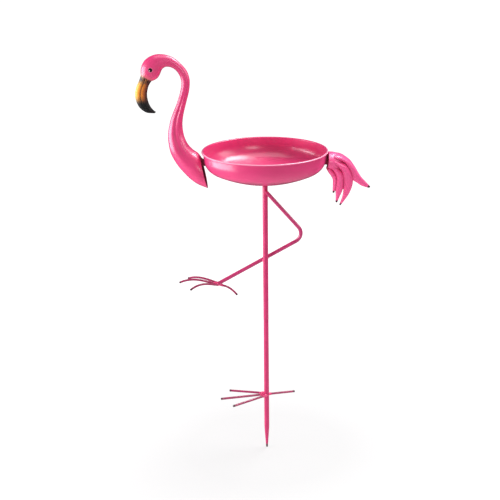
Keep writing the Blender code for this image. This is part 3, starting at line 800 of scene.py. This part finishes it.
for label in ("Inside", "Outside"):
    chosen = add(hollows, "GeometryNodeMaterialSelection", {0: hollows_in[label]}).outputs[0]
    marked = add(hollows, "GeometryNodeSetMaterial", {
        "Geometry": marked, "Selection": chosen, "Material": hollows_in[label]}).outputs[0]
add(hollows, "NodeGroupOutput", {0: marked})


def mark_hollows(piece, outside, inside, blur, least, full, strength, sharp_angle):
    """Store how hollow a piece is at each point, from nothing at one depth to full at another."""
    return grow(piece, hollows, {"Blur": blur, "Least Depth": least, "Full Depth": full, "Strength": strength,
                                 "Outside": outside, "Inside": inside}, sharp_angle)


# %% [markdown]
# ## Head, neck and breast
#
# This is one hollow piece, pressed in two halves and welded along its middle. Its shape is given by stations from
# the open rear of the breast to the tip of the beak. Each station says where the front edge and the back edge
# are and how wide the piece is there. A smooth curve runs through the stations, so the loft can be as fine as the
# light needs, while the outline stays that of the solid.

# %% Stations
FIGURE_HEIGHT = 0.330
FIGURE_SHEET = 0.0012
FIGURE_CORNER = (-WALL_RADIUS - 0.0085, RIM_TOP - 0.0125)
FIGURE = [
    (0.052, -0.245, 0.000, 0.000, 0.103),
    (-0.017, -0.215, -0.003, 0.006, 0.107),
    (-0.072, -0.175, -0.008, 0.013, 0.105),
    (-0.123, -0.123, -0.018, 0.024, 0.097),
    (-0.173, -0.059, -0.051, 0.048, 0.086),
    (-0.216, 0.024, -0.087, 0.089, 0.072),
    (-0.231, 0.106, -0.109, 0.138, 0.059),
    (-0.231, 0.172, -0.119, 0.183, 0.050),
    (-0.215, 0.256, -0.123, 0.240, 0.043),
    (-0.190, 0.326, -0.115, 0.304, 0.038),
    (-0.165, 0.383, -0.100, 0.365, 0.034),
    (-0.146, 0.438, -0.084, 0.423, 0.032),
    (-0.131, 0.488, -0.068, 0.483, 0.032),
    (-0.123, 0.537, -0.061, 0.545, 0.032),
    (-0.127, 0.574, -0.065, 0.587, 0.032),
    (-0.141, 0.610, -0.082, 0.634, 0.032),
    (-0.165, 0.641, -0.120, 0.681, 0.033),
    (-0.194, 0.658, -0.171, 0.725, 0.036),
    (-0.223, 0.663, -0.217, 0.746, 0.040),
    (-0.243, 0.658, -0.259, 0.754, 0.045),
    (-0.259, 0.644, -0.302, 0.753, 0.050),
    (-0.268, 0.626, -0.343, 0.740, 0.054),
    (-0.278, 0.604, -0.381, 0.714, 0.056),
    (-0.294, 0.582, -0.405, 0.678, 0.054),
    (-0.318, 0.567, -0.415, 0.638, 0.047),
    (-0.339, 0.558, -0.416, 0.602, 0.037),
    (-0.354, 0.538, -0.431, 0.560, 0.031),
    (-0.366, 0.510, -0.449, 0.522, 0.029),
    (-0.374, 0.474, -0.461, 0.475, 0.028),
    (-0.373, 0.437, -0.460, 0.431, 0.027),
    (-0.364, 0.398, -0.442, 0.379, 0.024),
    (-0.349, 0.368, -0.412, 0.346, 0.020),
    (-0.331, 0.347, -0.377, 0.327, 0.015),
    (-0.313, 0.333, -0.325, 0.323, 0.005),
]

# %% [markdown]
# The loft works for the figure, the tail and its feathers alike. Between two stations the numbers follow a cubic
# curve that also looks at the stations before and after, so there are no kinks. Each ring is an ellipse with the
# front and back edges at its ends, and relief pushes its points out along the ellipse's own normal.

# %% Lofts
def smooth(table, places):
    """Rows of a table on the smooth curve through them, at fractional places along it."""
    table = np.array(table)
    start_row = np.minimum(places.astype(int), len(table) - 2)
    u = (places - start_row)[:, None]
    before, start, end, after = (table[np.clip(start_row + k, 0, len(table) - 1)] for k in (-1, 0, 1, 2))
    rise = (end - before) / 2
    run = (after - start) / 2
    bend = 2 * (start - end) + rise + run
    return start + rise * u + (3 * (end - start) - 2 * rise - run) * u**2 + bend * u**3


def rings(table, places, sides, corner, size, sheet=0.0, relief=None):
    """Rings of points through stations: (ring, side, xyz), pulled in by a sheet's thickness."""
    rows = smooth(table, places) * size
    front, back = rows[:, 0:2], rows[:, 2:4]
    middle = (front + back) / 2 + np.array(corner)
    length = np.linalg.norm(front - back, axis=1)[:, None]
    along = (front - back) / length
    deep = length / 2 - sheet
    wide = rows[:, 4:5] - sheet
    turn = np.arange(sides)[None, :] * 2 * pi / sides
    out_deep, out_wide = np.cos(turn) / deep, np.sin(turn) / wide
    out_size = np.hypot(out_deep, out_wide)
    raised_by = relief(places[:, None], (1 - np.cos(turn)) / 2) if relief else 0.0
    reach = deep * np.cos(turn) + raised_by * out_deep / out_size
    y = wide * np.sin(turn) + raised_by * out_wide / out_size
    return np.stack([middle[:, 0:1] + along[:, 0:1] * reach, y, middle[:, 1:2] + along[:, 1:2] * reach], axis=2)


def ring_faces(count, sides):
    """Quads between neighbouring rings."""
    faces = []
    for i in range(count - 1):
        for j in range(sides):
            k = (j + 1) % sides
            faces.append((i * sides + j, i * sides + k, (i + 1) * sides + k, (i + 1) * sides + j))
    return faces


# %% [markdown]
# The press also left low relief: a long hollow with a ridge beside it down the breast, a mouth line between the
# two halves of the beak, a small step where the beak meets the face, and the weld seam along both edges. The
# relief is a function of the place along the piece and of the place round it, as in the paint.

# %% Relief
MOUTH_START, MOUTH_END = 25.2, 31.6
MOUTH_DEPTH = 0.0006
BEAK_STEP = 24.9
BEAK_STEP_DEPTH = 0.0005
RELIEF_RISE, RELIEF_FADE = (2.0, 5.0), (9.0, 13.5)
VALLEY_DEPTH = 0.0019
RIDGE_HEIGHT = 0.0011
RIDGE_BESIDE = 0.22
SEAM_DEPTH = 0.0002
SEAM_WIDTH = 0.07


def bump(value, centre, width):
    return np.exp(-((value - centre) / width) ** 2)


def ramp(value, start, end):
    share = np.clip((value - start) / (end - start), 0, 1)
    return share * share * (3 - 2 * share)


def mouth_side(run):
    """Where the mouth line is, round the beak, at a place along it."""
    return 0.5 + 0.057 * np.clip((run - MOUTH_START) / (MOUTH_END - MOUTH_START), 0, 1)


def figure_relief(run, side):
    neck = ramp(run, *RELIEF_RISE) * (1 - ramp(run, *RELIEF_FADE))
    valley = 0.58 - 0.13 * ramp(run, 4.0, 9.0)
    height = neck * (RIDGE_HEIGHT * bump(side, valley + RIDGE_BESIDE, 0.11) - VALLEY_DEPTH * bump(side, valley, 0.13))
    mouth = ramp(run, MOUTH_START - 0.3, MOUTH_START + 0.3) * (1 - ramp(run, MOUTH_END - 0.4, MOUTH_END))
    height = height - MOUTH_DEPTH * mouth * bump(side, mouth_side(run), 0.035)
    turn = np.arccos(1 - 2 * side)
    seam = (1 - ramp(run, 22.0, 24.0)) * (bump(turn, 0, SEAM_WIDTH) + bump(turn, pi, SEAM_WIDTH))
    return height - BEAK_STEP_DEPTH * bump(run, BEAK_STEP, 0.12) - SEAM_DEPTH * seam


print("mouth from station %.1f to %.1f" % (MOUTH_START, MOUTH_END))

# %% [markdown]
# The skin goes from the open rear to the tip of the beak outside, and from the rear up into the neck inside. At
# the rear the two are joined by a rounded lip, as thick as the sheet. One more point closes the skin at the tip,
# and another closes the hollow inside the neck.

# %% Figure skin
FIGURE_SIDES = 180
FIGURE_LIP = ((0.25, 0.0003), (0.5, 0.0004), (0.75, 0.0003))


def table_places(table, step, end=None):
    """Fractional places along a table of stations, at even steps."""
    last = len(table) - 1 if end is None else end
    return np.linspace(0, last, round(last / step) + 1)


def figure_skin(outside, within):
    """Rings from the beak's tip down the outside, round the lip and up the inside, and the closed skin's faces."""
    def ring_stack(places, sheet=0.0, relief=None):
        return rings(FIGURE, places, FIGURE_SIDES, FIGURE_CORNER, FIGURE_HEIGHT, sheet, relief)

    lip = [ring_stack(within[:1], FIGURE_SHEET * pull) + np.array([out, 0, 0]) for pull, out in FIGURE_LIP]
    outer = ring_stack(outside, 0.0, figure_relief)
    inner = ring_stack(within, FIGURE_SHEET, figure_relief)
    stack = np.concatenate([outer[::-1], *lip, inner])
    points = np.concatenate([stack.reshape(-1, 3), outer[-1].mean(axis=0)[None], inner[-1].mean(axis=0)[None]])
    tip, end = len(points) - 2, len(points) - 1
    faces = ring_faces(len(stack), FIGURE_SIDES)
    base = (len(stack) - 1) * FIGURE_SIDES
    for j in range(FIGURE_SIDES):
        k = (j + 1) % FIGURE_SIDES
        faces += [(tip, j, k), (base + k, base + j, end)]
    return points, faces


# %% [markdown]
# The faces inside get a dark paint of their own, a painted shade, since the inside of the shell lies in shade. Two
# attributes are stored on the mesh, the place along the piece and the place round it, because the paint on the
# beak follows them.

# %% Head, neck and breast
FIGURE_STEP = 0.2
INSIDE_STEP = 0.5
HOLLOW_END = 23.0


def figure_mesh(material, inside):
    outside = table_places(FIGURE, FIGURE_STEP)
    within = table_places(FIGURE, INSIDE_STEP, HOLLOW_END)
    points, faces = figure_skin(outside, within)
    figure = mesh_object("head_neck_breast", points, faces, material, 50)
    figure.data.materials.append(inside)
    first_inside = (len(outside) + len(FIGURE_LIP)) * FIGURE_SIDES
    tip = len(points) - 2
    for face in figure.data.polygons:
        face.material_index = int(min(face.vertices) >= first_inside and tip not in face.vertices)
    run = np.concatenate([outside[::-1], np.zeros(len(FIGURE_LIP)), within])
    turn = np.arange(FIGURE_SIDES) * 2 * pi / FIGURE_SIDES
    store(figure, "beak_run", np.concatenate([np.repeat(run, FIGURE_SIDES), [outside[-1], HOLLOW_END]]))
    store(figure, "beak_side", np.concatenate([np.tile((1 - np.cos(turn)) / 2, len(run)), [0.5, 0.5]]))
    # Painted shade in the figure's grooves, through the hollow attribute.
    return mark_hollows(figure, material, inside, blur=14, least=0.0, full=0.0012, strength=0.6, sharp_angle=50)


figure = figure_mesh(figure_paint, shaded_inside_paint)
place(figure, "pink_paint", "head_neck_and_breast")

# %% [markdown]
# ## The tail
#
# The tail is a cup with four feathers that droop from it like fingers, all pressed in one piece. Each is lofted
# in the same way as the figure. The five closed lofts are then melted into one skin with a voxel remesh, which
# leaves soft valleys between the feathers, as a press does, and the cup is hollowed from its open end.

# %% Tail tables
TAIL_LENGTH = 0.110
TAIL_SHEET = 0.0012
TAIL_CORNER = (WALL_RADIUS + 0.0055, RIM_TOP - 0.0065)
TAIL_CUP = [
    (0.000, 0.000, -0.030, -0.345, 0.300),
    (0.100, -0.002, 0.050, -0.400, 0.290),
    (0.210, -0.030, 0.110, -0.440, 0.250),
    (0.310, -0.085, 0.190, -0.445, 0.170),
    (0.390, -0.160, 0.280, -0.430, 0.095),
    (0.430, -0.230, 0.345, -0.390, 0.028),
]
FEATHERS = {
    "upper": [
        (0.120, -0.022, 0.120, -0.150, 0.235),
        (0.270, -0.046, 0.240, -0.175, 0.230),
        (0.390, -0.111, 0.365, -0.250, 0.190),
        (0.495, -0.197, 0.432, -0.358, 0.135),
        (0.607, -0.360, 0.508, -0.492, 0.090),
        (0.692, -0.505, 0.550, -0.642, 0.065),
        (0.757, -0.597, 0.645, -0.715, 0.045),
        (0.848, -0.694, 0.760, -0.790, 0.032),
        (0.952, -0.806, 0.920, -0.840, 0.014),
    ],
    "second": [
        (0.130, -0.110, 0.090, -0.240, 0.280),
        (0.270, -0.180, 0.200, -0.330, 0.270),
        (0.400, -0.265, 0.275, -0.425, 0.215),
        (0.485, -0.400, 0.312, -0.550, 0.150),
        (0.545, -0.560, 0.332, -0.665, 0.095),
        (0.553, -0.720, 0.338, -0.780, 0.065),
        (0.515, -0.870, 0.340, -0.900, 0.048),
        (0.440, -1.020, 0.318, -1.030, 0.034),
        (0.283, -1.240, 0.250, -1.222, 0.014),
    ],
    "third": [
        (0.100, -0.230, 0.030, -0.330, 0.268),
        (0.215, -0.330, 0.095, -0.420, 0.250),
        (0.305, -0.435, 0.150, -0.530, 0.195),
        (0.343, -0.570, 0.165, -0.640, 0.130),
        (0.336, -0.760, 0.163, -0.790, 0.082),
        (0.322, -0.890, 0.165, -0.900, 0.058),
        (0.272, -1.005, 0.170, -1.010, 0.040),
        (0.208, -1.168, 0.168, -1.162, 0.014),
    ],
    "lowest": [
        (0.035, -0.300, -0.047, -0.378, 0.215),
        (0.105, -0.385, 0.005, -0.468, 0.210),
        (0.165, -0.480, 0.062, -0.548, 0.170),
        (0.190, -0.600, 0.102, -0.640, 0.120),
        (0.180, -0.760, 0.103, -0.770, 0.070),
        (0.145, -0.938, 0.098, -0.944, 0.018),
    ],
}

# %% [markdown]
# Each closed loft needs a cap at both ends before it can be melted together with the others. Modifiers do the
# melting, the smoothing and the hollowing, and each is kept as plain mesh straight away.

# %% Capped lofts and modifiers
def capped_loft(stack):
    """Points and faces of a closed loft through a stack of rings."""
    count, sides = stack.shape[:2]
    faces = ring_faces(count, sides)
    faces.append(tuple(range(sides)))
    faces.append(tuple(reversed(range((count - 1) * sides, count * sides))))
    return stack.reshape(-1, 3), faces


def apply_modifier(piece, kind, **settings):
    """Add one modifier, keep its result as the plain mesh and remove it."""
    modifier = piece.modifiers.new(kind.lower(), kind)
    for name, value in settings.items():
        setattr(modifier, name, value)
    keep_result(piece, modifier)


# %% [markdown]
# The feathers' tips are darker. The darkening is measured back from each tip along its own feather, and it fades
# at that feather's edges, so that it doesn't spill over onto a neighbour.

# %% Darker tips
FEATHER_DARK_REACH = 0.0065
TIP_DARK_START = 1.4
TIP_MARGIN = 0.0008


def tip_darkening(table, flat):
    """How dark each point is made by one feather's tip: full at its end, none beside the feather."""
    before, last = (np.array(table[k]) * TAIL_LENGTH for k in (-2, -1))
    tip = (last[0:2] + last[2:4]) / 2 + TAIL_CORNER
    way = tip - (before[0:2] + before[2:4]) / 2 - TAIL_CORNER
    way = way / np.linalg.norm(way)
    behind = (tip - flat) @ way
    beside = np.abs((flat - tip) @ np.array([-way[1], way[0]]))
    reach = np.linalg.norm(last[0:2] - last[2:4]) / 2 + TIP_MARGIN + 0.2 * np.maximum(behind, 0)
    return np.clip(TIP_DARK_START - behind / FEATHER_DARK_REACH, 0, 1) * np.clip((reach - beside) / TIP_MARGIN, 0, 1)


# %% [markdown]
# The hollow is the cup's own loft again, pulled in by the thickness of the sheet and drawn out a little past the
# open end, so that the cut leaves no film across the mouth.

# %% Tail
TAIL_SIDES = 64
TAIL_STEP = 0.12
TAIL_VOXEL = 0.0006
TAIL_SMOOTHING = 12
TAIL_HOLLOW_END = 3.6
MOUTH_OVERCUT = 0.002


def tail_mesh(material, inside):
    points, faces = [], []
    for table in (TAIL_CUP, *FEATHERS.values()):
        stack = rings(table, table_places(table, TAIL_STEP), TAIL_SIDES, TAIL_CORNER, TAIL_LENGTH)
        loft_points, loft_faces = capped_loft(stack)
        faces += [tuple(len(points) + i for i in face) for face in loft_faces]
        points += [tuple(p) for p in loft_points]
    tail = mesh_object("feather_tail", points, faces, material)
    apply_modifier(tail, "REMESH", mode="VOXEL", voxel_size=TAIL_VOXEL, use_smooth_shade=True)
    apply_modifier(tail, "SMOOTH", factor=0.5, iterations=TAIL_SMOOTHING)
    hollow_places = table_places(TAIL_CUP, TAIL_STEP, TAIL_HOLLOW_END)
    hollow = rings(TAIL_CUP, hollow_places, TAIL_SIDES, TAIL_CORNER, TAIL_LENGTH, TAIL_SHEET)
    mouth = hollow[:1] - np.array([MOUTH_OVERCUT, 0, 0])
    cutter = mesh_object("tail_hollow", *capped_loft(np.concatenate([mouth, hollow])), inside)
    # The cut faces inside the cup take the inside paint, a painted shade.
    apply_modifier(tail, "BOOLEAN", operation="DIFFERENCE", solver="EXACT", object=cutter,
                   material_mode="TRANSFER")
    bpy.data.objects.remove(cutter, do_unlink=True)
    # Painted shade in the grooves between the feathers.
    mark_hollows(tail, material, inside, blur=30, least=0.00012, full=0.0010, strength=1.0, sharp_angle=45)
    flat = points_of(tail)[:, [0, 2]]
    store(tail, "tip_dark", np.max([tip_darkening(table, flat) for table in FEATHERS.values()], axis=0))
    return tail


tail = tail_mesh(lit_tail_paint, shaded_inside_paint)
print("tail materials:", [slot.name for slot in tail.data.materials])
place(tail, "pink_paint", "tail")

# %% [markdown]
# ## Rods: the raised leg and the toes
#
# The leg is one rod with a knee bend, and the toes are thinner rods. Each is a path with a girth at every point.
# The tree makes the path a curve and sweeps a circle along it, scaled by the girth. The last millimetre of a
# rod shrinks a little, because a cut end is dressed with a file before it is painted.

# %% Rod tree
rods, rods_in = geometry_tree("rod_on_path", [("Sides", "NodeSocketInt"), ("Material", "NodeSocketMaterial")])
rod_line = add(rods, "GeometryNodeMeshToCurve", {0: rods_in["Geometry"]})
rod_girth = add(rods, "GeometryNodeInputNamedAttribute", {"Name": "girth"})
rod_section = add(rods, "GeometryNodeCurvePrimitiveCircle", {"Resolution": rods_in["Sides"], "Radius": 1.0})
rod_skin = add(rods, "GeometryNodeCurveToMesh", {"Curve": rod_line.outputs[0], "Scale": rod_girth.outputs[0],
                                                 "Profile Curve": rod_section.outputs[0], "Fill Caps": True})
close_tree(rods, rod_skin.outputs[0], rods_in["Material"])
print("rod tree:", len(rods.nodes), "nodes")

# %% [markdown]
# A path is laid out again at even steps before the tree sees it, with a few more points close to both ends for
# the rounding. The girth is then the rod's radius, less at the rounded ends and perhaps tapering along the way.

# %% Rods
CUT_EDGE = 0.0009
ROD_DARK_START = 1.2


def along(points, step):
    """The same path with points at even steps, and extra ones close to both ends."""
    points = [Vector(p) for p in points]
    lengths = [0.0]
    for one, two in zip(points, points[1:]):
        lengths.append(lengths[-1] + (two - one).length)
    total = lengths[-1]
    near_end = [0.0, CUT_EDGE * 0.15, CUT_EDGE * 0.5, CUT_EDGE]
    count = max(2, int(total / step))
    places = near_end + [total * i / count for i in range(1, count)] + [total - d for d in reversed(near_end)]
    result = []
    for want in sorted(places):
        k = max(i for i in range(len(points) - 1) if lengths[i] <= want + 1e-9)
        share = (want - lengths[k]) / (lengths[k + 1] - lengths[k])
        result.append((points[k].lerp(points[k + 1], share), want / total, min(want, total - want)))
    return result


def rod(name, points, radius, material, nodes, tip_share=1.0, step=0.004, sides=20, dark_end=0.0):
    """A rod along a path, its cut ends rounded, drawn in and perhaps darker at its far end."""
    stations = along(points, step)
    girths = []
    for _, share, from_end in stations:
        inwards = max(0.0, 1 - from_end / CUT_EDGE)
        shrink = 1 - CUT_EDGE / radius * (1 - sqrt(1 - inwards**2))
        girths.append(radius * (1 + (tip_share - 1) * share) * shrink)
    piece = path_object(name, [p for p, _, _ in stations], girths)
    grow(piece, rods, {"Sides": sides, "Material": material}, 60)
    if dark_end:
        from_tip = np.linalg.norm(points_of(piece) - np.array(points[-1]), axis=1)
        store(piece, "tip_dark", darker_towards_end(from_tip, dark_end, ROD_DARK_START))
    return place(piece, "pink_paint", *nodes)


# %% [markdown]
# The leg's plane leans: the thigh is welded to the front of the post near its top, the knee stands out behind the
# bird, and the shin crosses back behind the post. Its corners follow the solid's: straight, one bend, straight.

# %% Raised leg
LEG_RADIUS = 0.0047
THIGH_START = Vector((0.004, 0.0, POST_TOP - 0.014))
THIGH_LENGTH = 0.1525
THIGH_ANGLE = 50.0
SHIN_LENGTH = 0.260
SHIN_ANGLE = 30.4
KNEE_BEND = 0.0255
KNEE_STEPS = 24
SOLID_POST_SIDES = 20


def leg_path():
    """The leg's middle line; it keeps clear of the corners of the solid post."""
    clear = (POST_RADIUS + LEG_RADIUS) / cos(pi / SOLID_POST_SIDES) + GAP
    thigh = Vector((cos(radians(THIGH_ANGLE)), 0, -sin(radians(THIGH_ANGLE))))
    shin = Vector((-cos(radians(SHIN_ANGLE)), 0, -sin(radians(SHIN_ANGLE))))
    knee = THIGH_START + thigh * THIGH_LENGTH
    turn = acos(thigh.dot(shin))
    bend_start = knee - thigh * KNEE_BEND * tan(turn / 2)
    centre = knee + (shin - thigh).normalized() * (KNEE_BEND / cos(turn / 2))
    first = (bend_start - centre).normalized()
    path = [THIGH_START.copy(), bend_start]
    for i in range(1, KNEE_STEPS + 1):
        angle = turn * i / KNEE_STEPS
        path.append(centre + first * KNEE_BEND * cos(angle) + thigh * KNEE_BEND * sin(angle))
    path.append(knee + shin * SHIN_LENGTH)
    crossing = THIGH_START.z - (knee.z + shin.z * (knee.x / -shin.x))
    for point in path:
        point.y = -clear + 2 * clear / crossing * (THIGH_START.z - point.z)
    return path


leg_points = leg_path()
rod("bent_leg", leg_points, LEG_RADIUS, shaded_rod_paint, ["raised_leg"], step=0.003, sides=28)
ankle = leg_points[-1]
shin_way = (leg_points[-1] - leg_points[-2]).normalized()
print("ankle at", [round(value, 4) for value in ankle])

# %% [markdown]
# Three raised toes arch forward and one hangs back. A forward toe is given by its turn from straight ahead, its
# reach, how high it arches, and where it starts: the middle one ahead of the shin's end, the others beside it.
# The arch is highest a little past the toe's middle, and the tip ends a little higher than the root.

# %% Raised toes
TOE_RADIUS = 0.00285
TOE_STEPS = 24
TOE_TIP_SHARE = 0.9
TOE_DARK_REACH = 0.008
TOE_RISE = 0.004
ARCH_LEAN = 1.3
BACK_TOE_REACH = 0.0410
BACK_TOE_DROP = 0.0265
BACK_TOE_RAISED = 0.005
side_step = Vector((0, LEG_RADIUS + TOE_RADIUS + GAP, 0))
forward_step = Vector((shin_way.x, 0, 0)) * (LEG_RADIUS + GAP)
RAISED_TOES = {
    # turn, reach, arch, start
    "middle": (0.0, 0.0935, 0.0095, forward_step),
    "far": (-18.0, 0.0815, 0.0070, side_step),
    "near": (36.0, 0.0830, 0.0090, -side_step),
}


def raised_toe(name, path):
    return rod("toe_raised_" + name, path, TOE_RADIUS, shaded_toe_paint, ["raised_toe_" + name], tip_share=TOE_TIP_SHARE,
               step=0.003, dark_end=TOE_DARK_REACH)


toe_shares = [i / TOE_STEPS for i in range(TOE_STEPS + 1)]
for name, (turn, reach, arch, start) in RAISED_TOES.items():
    away = Vector((-cos(radians(turn)), -sin(radians(turn)), 0))
    lifts = [arch * (1 - (2 * share**ARCH_LEAN - 1) ** 2) + TOE_RISE * share for share in toe_shares]
    raised_toe(name, [ankle + start + away * reach * share + Vector((0, 0, lift))
                      for share, lift in zip(toe_shares, lifts)])

under = Vector((-shin_way.z, 0, shin_way.x)).normalized()
back_root = ankle - shin_way * BACK_TOE_RAISED + under * (LEG_RADIUS + TOE_RADIUS + GAP)
raised_toe("back", [back_root + Vector((BACK_TOE_REACH * share, 0, -BACK_TOE_DROP * share * share))
                    for share in toe_shares])

# %% [markdown]
# The standing foot is flat on the ground: three straight toes forward, one back, all turned a few degrees.

# %% Standing toes
MIDDLE_TOE = 0.115
FAR_TOE = 0.094
NEAR_TOE = 0.105
BACK_TOE = 0.069
TOE_SPREAD = 24.0
FOOT_TURN = 12.4
TOE_STAGGER = 0.80
post_skin = LOWER_POST_RADIUS + GAP
standing = {"middle": (180 + FOOT_TURN, MIDDLE_TOE, 0.0), "back": (FOOT_TURN, BACK_TOE, 0.0),
            "far": (180 + FOOT_TURN - TOE_SPREAD, FAR_TOE, -TOE_STAGGER),
            "near": (180 + FOOT_TURN + TOE_SPREAD, NEAR_TOE, TOE_STAGGER)}
standing_paths = {}
for name, (turn, length, aside) in standing.items():
    away = Vector((cos(radians(turn)), sin(radians(turn)), 0))
    across = Vector((-away.y, away.x, 0)) * post_skin * aside
    nearest = max(0.0, post_skin * abs(aside) - TOE_RADIUS)
    root = across + away * sqrt(post_skin**2 - nearest**2) + Vector((0, 0, TOE_RADIUS))
    standing_paths[name] = (root, away)
    rod("toe_standing_" + name, [root, root + away * length], TOE_RADIUS, shaded_toe_paint, ["standing_toe_" + name],
        dark_end=TOE_DARK_REACH)

# %% [markdown]
# ## Weld beads
#
# Everything is held together by short weld beads under the paint. A bead is a row of overlapping drops, so the
# tree puts points along a path at a small pitch, shakes them a little with a fixed seed, gives each a radius,
# turns them into a volume and takes its skin. That gives the soft, lumpy fillets that welders leave.

# %% Weld tree
welds, welds_in = geometry_tree("weld_bead", [
    ("Pitch", "NodeSocketFloat"), ("Wobble", "NodeSocketFloat"), ("Voxel", "NodeSocketFloat"),
    ("Seed", "NodeSocketInt"), ("Material", "NodeSocketMaterial")])
weld_line = add(welds, "GeometryNodeMeshToCurve", {0: welds_in["Geometry"]})
drops = add(welds, "GeometryNodeCurveToPoints", {"Curve": weld_line.outputs[0], "Length": welds_in["Pitch"]},
            mode="LENGTH")
shake = add(welds, "FunctionNodeRandomValue", {0: (-1.0, -1.0, -1.0), 1: (1.0, 1.0, 1.0), 8: welds_in["Seed"]},
            data_type="FLOAT_VECTOR")
shaken_by = add(welds, "ShaderNodeVectorMath", {0: shake.outputs[0], "Scale": welds_in["Wobble"]},
                operation="SCALE")
shaken = add(welds, "GeometryNodeSetPosition", {"Geometry": drops.outputs["Points"],
                                                "Offset": shaken_by.outputs[0]})
drop_girth = add(welds, "GeometryNodeInputNamedAttribute", {"Name": "girth"})
uneven = add(welds, "FunctionNodeRandomValue", {2: 0.85, 3: 1.2, 8: welds_in["Seed"]}, data_type="FLOAT")
drop_radius = calc(welds, "MULTIPLY", drop_girth.outputs[0], uneven.outputs[1])
metal = add(welds, "GeometryNodePointsToVolume", {"Points": shaken.outputs[0], "Voxel Size": welds_in["Voxel"],
                                                  "Radius": drop_radius}, resolution_mode="VOXEL_SIZE")
weld_skin = add(welds, "GeometryNodeVolumeToMesh", {"Volume": metal.outputs[0]}, resolution_mode="GRID")
close_tree(welds, weld_skin.outputs[0], welds_in["Material"])

WELD_PITCH = 0.0011
WELD_WOBBLE = 0.0002
WELD_VOXEL = 0.00035


def weld(name, points, girths, seed):
    """A bead along a path; girths are the radii at its points."""
    piece = path_object("weld_" + name, points, girths)
    grow(piece, welds, {"Pitch": WELD_PITCH, "Wobble": WELD_WOBBLE, "Voxel": WELD_VOXEL, "Seed": seed,
                        "Material": weld_paint}, 80)
    apply_modifier(piece, "SMOOTH", factor=0.5, iterations=3)
    return place(piece, "pink_paint")

# %% [markdown]
# The beads go where the photograph shows lumps: round the neck of the post, at the top of the thigh, where the
# shin passes behind the post, and at both feet, where three toes meet in a small palm of weld metal. Each bead is
# a list of steps from a place on the metal, with a radius for each. The seed is the bead's number.

# %% Welds
RING_STEPS = 24
RING_RADIUS = 0.0016
BESIDE_POST_LEFT, BESIDE_POST_RIGHT = 0.0070, 0.0072


def beads(place, *steps):
    """Points at steps (x, y, z) from a place."""
    return [place + Vector(step) for step in steps]


def toe_beads(name, *distances):
    """Points along a standing toe, at distances from its root."""
    toe_root, toe_way = standing_paths[name]
    return [toe_root + toe_way * distance for distance in distances]


neck_turns = [2 * pi * i / RING_STEPS for i in range(RING_STEPS + 1)]
neck_ring = [(POST_NECK_RADIUS * cos(a), POST_NECK_RADIUS * sin(a), DISH_BOTTOM - RING_RADIUS) for a in neck_turns]
thigh_top = Vector((0.0, leg_points[0].y, THIGH_START.z))
shin_start = leg_points[-2]
shin_at_post = shin_start + (ankle - shin_start) * (shin_start.x / (shin_start.x - ankle.x))
print("the shin passes the post at", [round(value, 4) for value in shin_at_post])
left_of_post = shin_at_post + shin_way * BESIDE_POST_LEFT
right_of_post = shin_at_post - shin_way * BESIDE_POST_RIGHT
palm_girths = [0.0036, 0.0034, 0.0026]
WELDS = {
    "post_neck": (neck_ring, [RING_RADIUS] * len(neck_ring)),
    "thigh": (beads(thigh_top, (-0.0005, 0.0022, 0.0032), (0.0030, 0.0020, -0.0022), (0.0052, 0.0032, -0.0080)),
              [0.0013, 0.0024, 0.0013]),
    "shin_left": (beads(left_of_post, (-0.0002, -0.0060, 0.0016), (-0.0006, -0.0048, -0.0034)), [0.0015, 0.0019]),
    "shin_right": (beads(right_of_post, (0.0, -0.0056, 0.0018), (0.0, -0.0056, -0.0030)), [0.0013, 0.0017]),
    "ankle": (beads(ankle, (0.0012, 0, 0.0004), (-0.0038, 0, -0.0002), (-0.0098, 0, 0.0018)),
              [0.0049, 0.0045, 0.0027]),
    "ankle_side": (beads(ankle, *((-0.0010, y, 0.0) for y in (-0.0076, -0.004, 0.0, 0.004, 0.0076))),
                   [0.0031, 0.0035, 0.0038, 0.0035, 0.0031]),
    "back_toe": (beads(back_root, (-0.0018, 0, 0.0020), (0.0024, 0, 0.0006)), [0.0032, 0.0029]),
    "palm_far": (toe_beads("far", -0.0005, 0.0055, 0.0125), palm_girths),
    "palm_middle": (toe_beads("middle", -0.0005, 0.0055, 0.0125), palm_girths),
    "palm_near": (toe_beads("near", -0.0005, 0.0055, 0.0125), palm_girths),
    "heel": (toe_beads("back", -0.0005, 0.0046), [0.0035, 0.0029]),
}
for seed, (name, (points, girths)) in enumerate(WELDS.items(), 1):
    weld(name, points, girths, seed)

# %% [markdown]
# ## Brackets
#
# The two flat brackets are right as they are, so they stay the frame's own solids. They only get a real paint in
# their material slots, a deeper pink, which is a painted shade for the shadow between the dish and the shells.

# %% Brackets
for name in ("breast_bracket", "tail_bracket"):
    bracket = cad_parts[name]
    for slot in bracket.material_slots:
        slot.material = shaded_bracket_paint
    print(name, "painted, slots:", len(bracket.material_slots))
